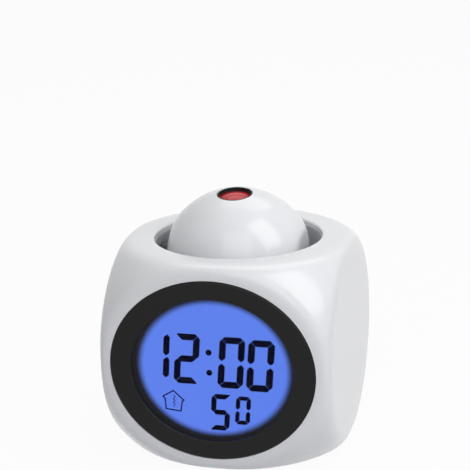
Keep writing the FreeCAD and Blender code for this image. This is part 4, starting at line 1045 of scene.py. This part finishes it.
def makeContacts(s, c, tree):
    h, q, y, r, reach = (s[key] for key in ("half", "corner", "y", "tipRadius", "tipReach"))
    rim = roundedProfile([(-h, -h, q), (h, -h, q), (h, h, q), (-h, h, q)], 4)
    heights = [c["firstZ"] + k * c["pitch"] for k in range(c["count"])]
    for side, sign in (("left", -1), ("right", 1)):
        x0 = sign * (s["wall"] - s["thickness"])
        dome = [(r, x0), (r * 0.95, x0 - sign * reach * 0.6), (r * 0.6, x0 - sign * reach * 0.9),
            (0.02, x0 - sign * reach)]
        shapes = []
        for k, z in enumerate(heights):
            shapes.append(cappedRings([[(x, y + u, z + v) for u, v in rim]
                for x in (x0, sign * s["wall"])]))
            if k in s[side]["tips"]:
                shapes.append(turned(dome, 24, (0, y, z), "X"))
        addPiece(side + "Contacts", merged(shapes), "spring_steel", side + "_contacts",
            sharpAngle=35)
        points = [(x0 - sign * s["coil"]["wire"], y, heights[k]) for k in s[side]["springs"]]
        addCoils(side + "Springs", tree, s["coil"], [0, radians(-90 * sign), 0], points)


coils = coilRow()
makeContacts(contactSizes, cellSizes, coils)

pressSizes = dict(turns=5.0, wide=4.3, narrow=4.3, wire=0.35, travel=1.5)


def makePressSpring(s, tree):
    # the coil under the yoke, as long as the CAD spring's box
    low, high = (corner[2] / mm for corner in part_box("press_spring"))
    coil = addCoils("pressSpring", tree, dict(s, length=high - low - 2 * s["wire"]), [0, 0, 0],
        [(0, 0, low + s["wire"])], "press_spring")
    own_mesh(coil)


makePressSpring(pressSizes, coils)
print("cells, contacts and spring made")

chipSizes = dict(size=(2.0, 0.5, 1.1), pitch=(4.6, 3.2), columns=9, rows=5,
    low=(-18.4, 38.5), face=-29.8, seed=7, kept=0.62)


def chipField():
    # small parts soldered on a grid, some places left empty at random
    tree, given = startTree("chipField", Vector="Size, Corner", Int="Columns, Rows, Seed",
        Float="Pitch across, Pitch up, Kept")
    row = addNode(tree, "GeometryNodeMeshLine",
        **{"Count": given["Columns"], "Start Location": given["Corner"],
        "Offset": joined(tree, given["Pitch across"], 0.0, 0.0)})
    column = addNode(tree, "GeometryNodeMeshLine", Count=given["Rows"],
        Offset=joined(tree, 0.0, 0.0, given["Pitch up"]))
    rows = standOn(tree, column, row)
    grid = addNode(tree, "GeometryNodeRealizeInstances", rows)
    keep = addNode(tree, "FunctionNodeRandomValue", Probability=given["Kept"], Seed=given["Seed"],
        data_type="BOOLEAN", out=3)
    chip = addNode(tree, "GeometryNodeMeshCube", Size=given["Size"])
    return endTree(tree, given, standOn(tree, grid, chip, chosen=keep))


def makeChips(s):
    corner = (s["low"][0], s["face"] + s["size"][1] / 2, s["low"][1])
    values = {"Size": [c * mm for c in s["size"]], "Corner": [c * mm for c in corner],
        "Pitch across": s["pitch"][0] * mm, "Pitch up": s["pitch"][1] * mm,
        "Columns": s["columns"], "Rows": s["rows"], "Kept": s["kept"], "Seed": s["seed"]}
    dress(grow("boardChips", chipField(), values, "black_component"), "black_component")


makeChips(chipSizes)
print("small parts made")

# signs printed beside the controls behind; across is counted to the right as seen from behind
signSizes = dict(face=41.6, sink=0.005, lift=0.03, line=0.28, signZ=65.9,
    radius=1.25, buttons=(-12.6, -4.2, 4.2, 12.6), beam=(0.0, 19.6),
    off=(-4.6, 15.5), on=(4.6, 15.5))


def makeSigns(s):
    shapes, r, z = [], s["radius"], s["signZ"]
    levels = (s["face"] + s["sink"], s["face"] + s["lift"])

    def draw(*path):
        for (u0, v0), (u1, v1) in zip(path, path[1:]):
            shapes.append(stroke((-u0, v0), (-u1, v1), s["line"], *levels))

    def fill(outline):
        shapes.append(prism([(-u, v) for u, v in outline], *levels))

    def hoop(u, v, radius, steps):
        rim = disc(u, v, radius, steps)
        draw(*rim, rim[0])

    clock, bell, up, down = s["buttons"]
    hoop(clock, z, r, 20)
    draw((clock, z + r * 0.65), (clock, z), (clock + r * 0.5, z))
    hoop(bell, z - r * 0.85, r * 0.18, 8)
    draw(*((bell + r * u, z + r * v) for u, v in ((-1, -0.55), (-0.7, -0.3), (-0.6, 0.5),
        (0, 0.95), (0.6, 0.5), (0.7, -0.3), (1, -0.55), (-1, -0.55))))
    fill([(up - r, z - r * 0.6), (up + r, z - r * 0.6), (up, z + r * 0.9)])
    fill([(down - r, z + r * 0.6), (down, z - r * 0.9), (down + r, z + r * 0.6)])
    u, v = s["beam"]
    hoop(u, v, 0.55, 12)
    for a in map(radians, (65, 90, 115)):
        draw(*((u + reach * cos(a), v + reach * sin(a)) for reach in (0.95, 2.1)))
    hoop(*s["off"], 0.6, 16)
    fill(disc(*s["on"], 0.62, 20))
    addPiece("rearSigns", merged(shapes), "black_component", finish="sign_ink", sharpAngle=20)


makeSigns(signSizes)
print("signs made")

stageLook = dict(floorHalf=3000, floor=linear(214, 214, 216), plainShare=0.95,
    worldLight=0.24, white=(1, 1, 1, 1))


def seenPlainly(tree):
    # 1 where the camera, a reflection or clear plastic looks
    path = addNode(tree, "ShaderNodeLightPath", out=None).outputs
    first = number(tree, "MAXIMUM", path["Is Camera Ray"], path["Is Glossy Ray"])
    return number(tree, "MAXIMUM", first, path["Is Transmission Ray"])


def makeStage(look):
    world = bpy.data.worlds.new("studio")
    bpy.context.scene.world = world
    world.use_nodes = True
    tree = world.node_tree
    tree.nodes.clear()
    light = addNode(tree, "ShaderNodeBackground", look["white"], look["worldLight"])
    plain = addNode(tree, "ShaderNodeBackground", look["white"], 1.0)
    addNode(tree, "ShaderNodeOutputWorld", mixShaders(tree, seenPlainly(tree), light, plain))
    tree, place = startMaterial("floor_paper")
    shade = clouded(tree, noise(tree, place, 400.0), look["floor"], 0.99)
    paper = addNode(tree, "ShaderNodeBsdfDiffuse", shade)
    plain = addNode(tree, "ShaderNodeEmission", look["white"], 1.0)
    share = number(tree, "MULTIPLY", seenPlainly(tree), look["plainShare"])
    addNode(tree, "ShaderNodeOutputMaterial", mixShaders(tree, share, paper, plain))
    half = look["floorHalf"]
    corners = [(-half, -half, 0), (half, -half, 0), (half, half, 0), (-half, half, 0)]
    addMesh("floor", (corners, [(0, 1, 2, 3)]), "floor_paper", 30)


makeStage(stageLook)

# direction, distance, size in metres and strength of each lamp
lampLook = dict(
    sideSoftbox=dict(azimuth=72, elevation=47, distance=0.7, size=(0.38, 0.56), power=2.1),
    frontFill=dict(azimuth=10, elevation=38, distance=1.2, size=(0.9, 0.9), power=4.0),
    lowFill=dict(azimuth=50, elevation=16, distance=1.3, size=(1.2, 1.2), power=1.7),
    topFill=dict(azimuth=0, elevation=85, distance=1.2, size=(0.9, 0.9), power=0.9),
    backFill=dict(azimuth=180, elevation=60, distance=1.3, size=(1.0, 0.8), power=3.6),
)
lampTarget = Vector((0, 0, 0.05))


def directionOf(s):
    # from the object to a lamp or the camera; azimuth 0 is in front, 90 on the right
    a, e = radians(s["azimuth"]), radians(s["elevation"])
    return Vector((sin(a) * cos(e), -cos(a) * cos(e), sin(e)))


def makeLamps(look):
    for name, s in look.items():
        toward = directionOf(s)
        lamp = bpy.data.lights.new(name, "AREA")
        lamp.shape = "RECTANGLE"
        lamp.size, lamp.size_y = s["size"]
        lamp.energy = s["power"]
        item = link(name, lamp)
        item.location = lampTarget + toward * s["distance"]
        item.rotation_mode = "QUATERNION"
        item.rotation_quaternion = (-toward).to_track_quat("-Z", "Y")


makeLamps(lampLook)

view = dict(azimuth=14.926, elevation=15.961, roll=-1.60, distance=589.544,
    lens=121.235, sideways=-1.214, upward=34.263, aimZ=41.0)


def makeCamera(v):
    a, r = radians(v["azimuth"]), radians(v["roll"])
    back = directionOf(v)
    right = Vector((cos(a), sin(a), 0))
    up = back.cross(right)
    target = Vector((0, 0, v["aimZ"])) + right * v["sideways"] + up * v["upward"]
    across = right * cos(r) + up * sin(r)
    above = up * cos(r) - right * sin(r)
    data = bpy.data.cameras.new("camera")
    data.sensor_width, data.lens = 36.0, v["lens"]
    data.clip_start, data.clip_end = 0.01, 20
    camera = link("camera", data)
    turn = Matrix((across, above, back)).transposed().to_4x4()
    camera.matrix_world = Matrix.Translation((target + back * v["distance"]) * mm) @ turn
    bpy.context.scene.camera = camera


makeCamera(view)
bpy.context.scene.view_settings.view_transform = "Standard"
print("stage, lamps and camera made")
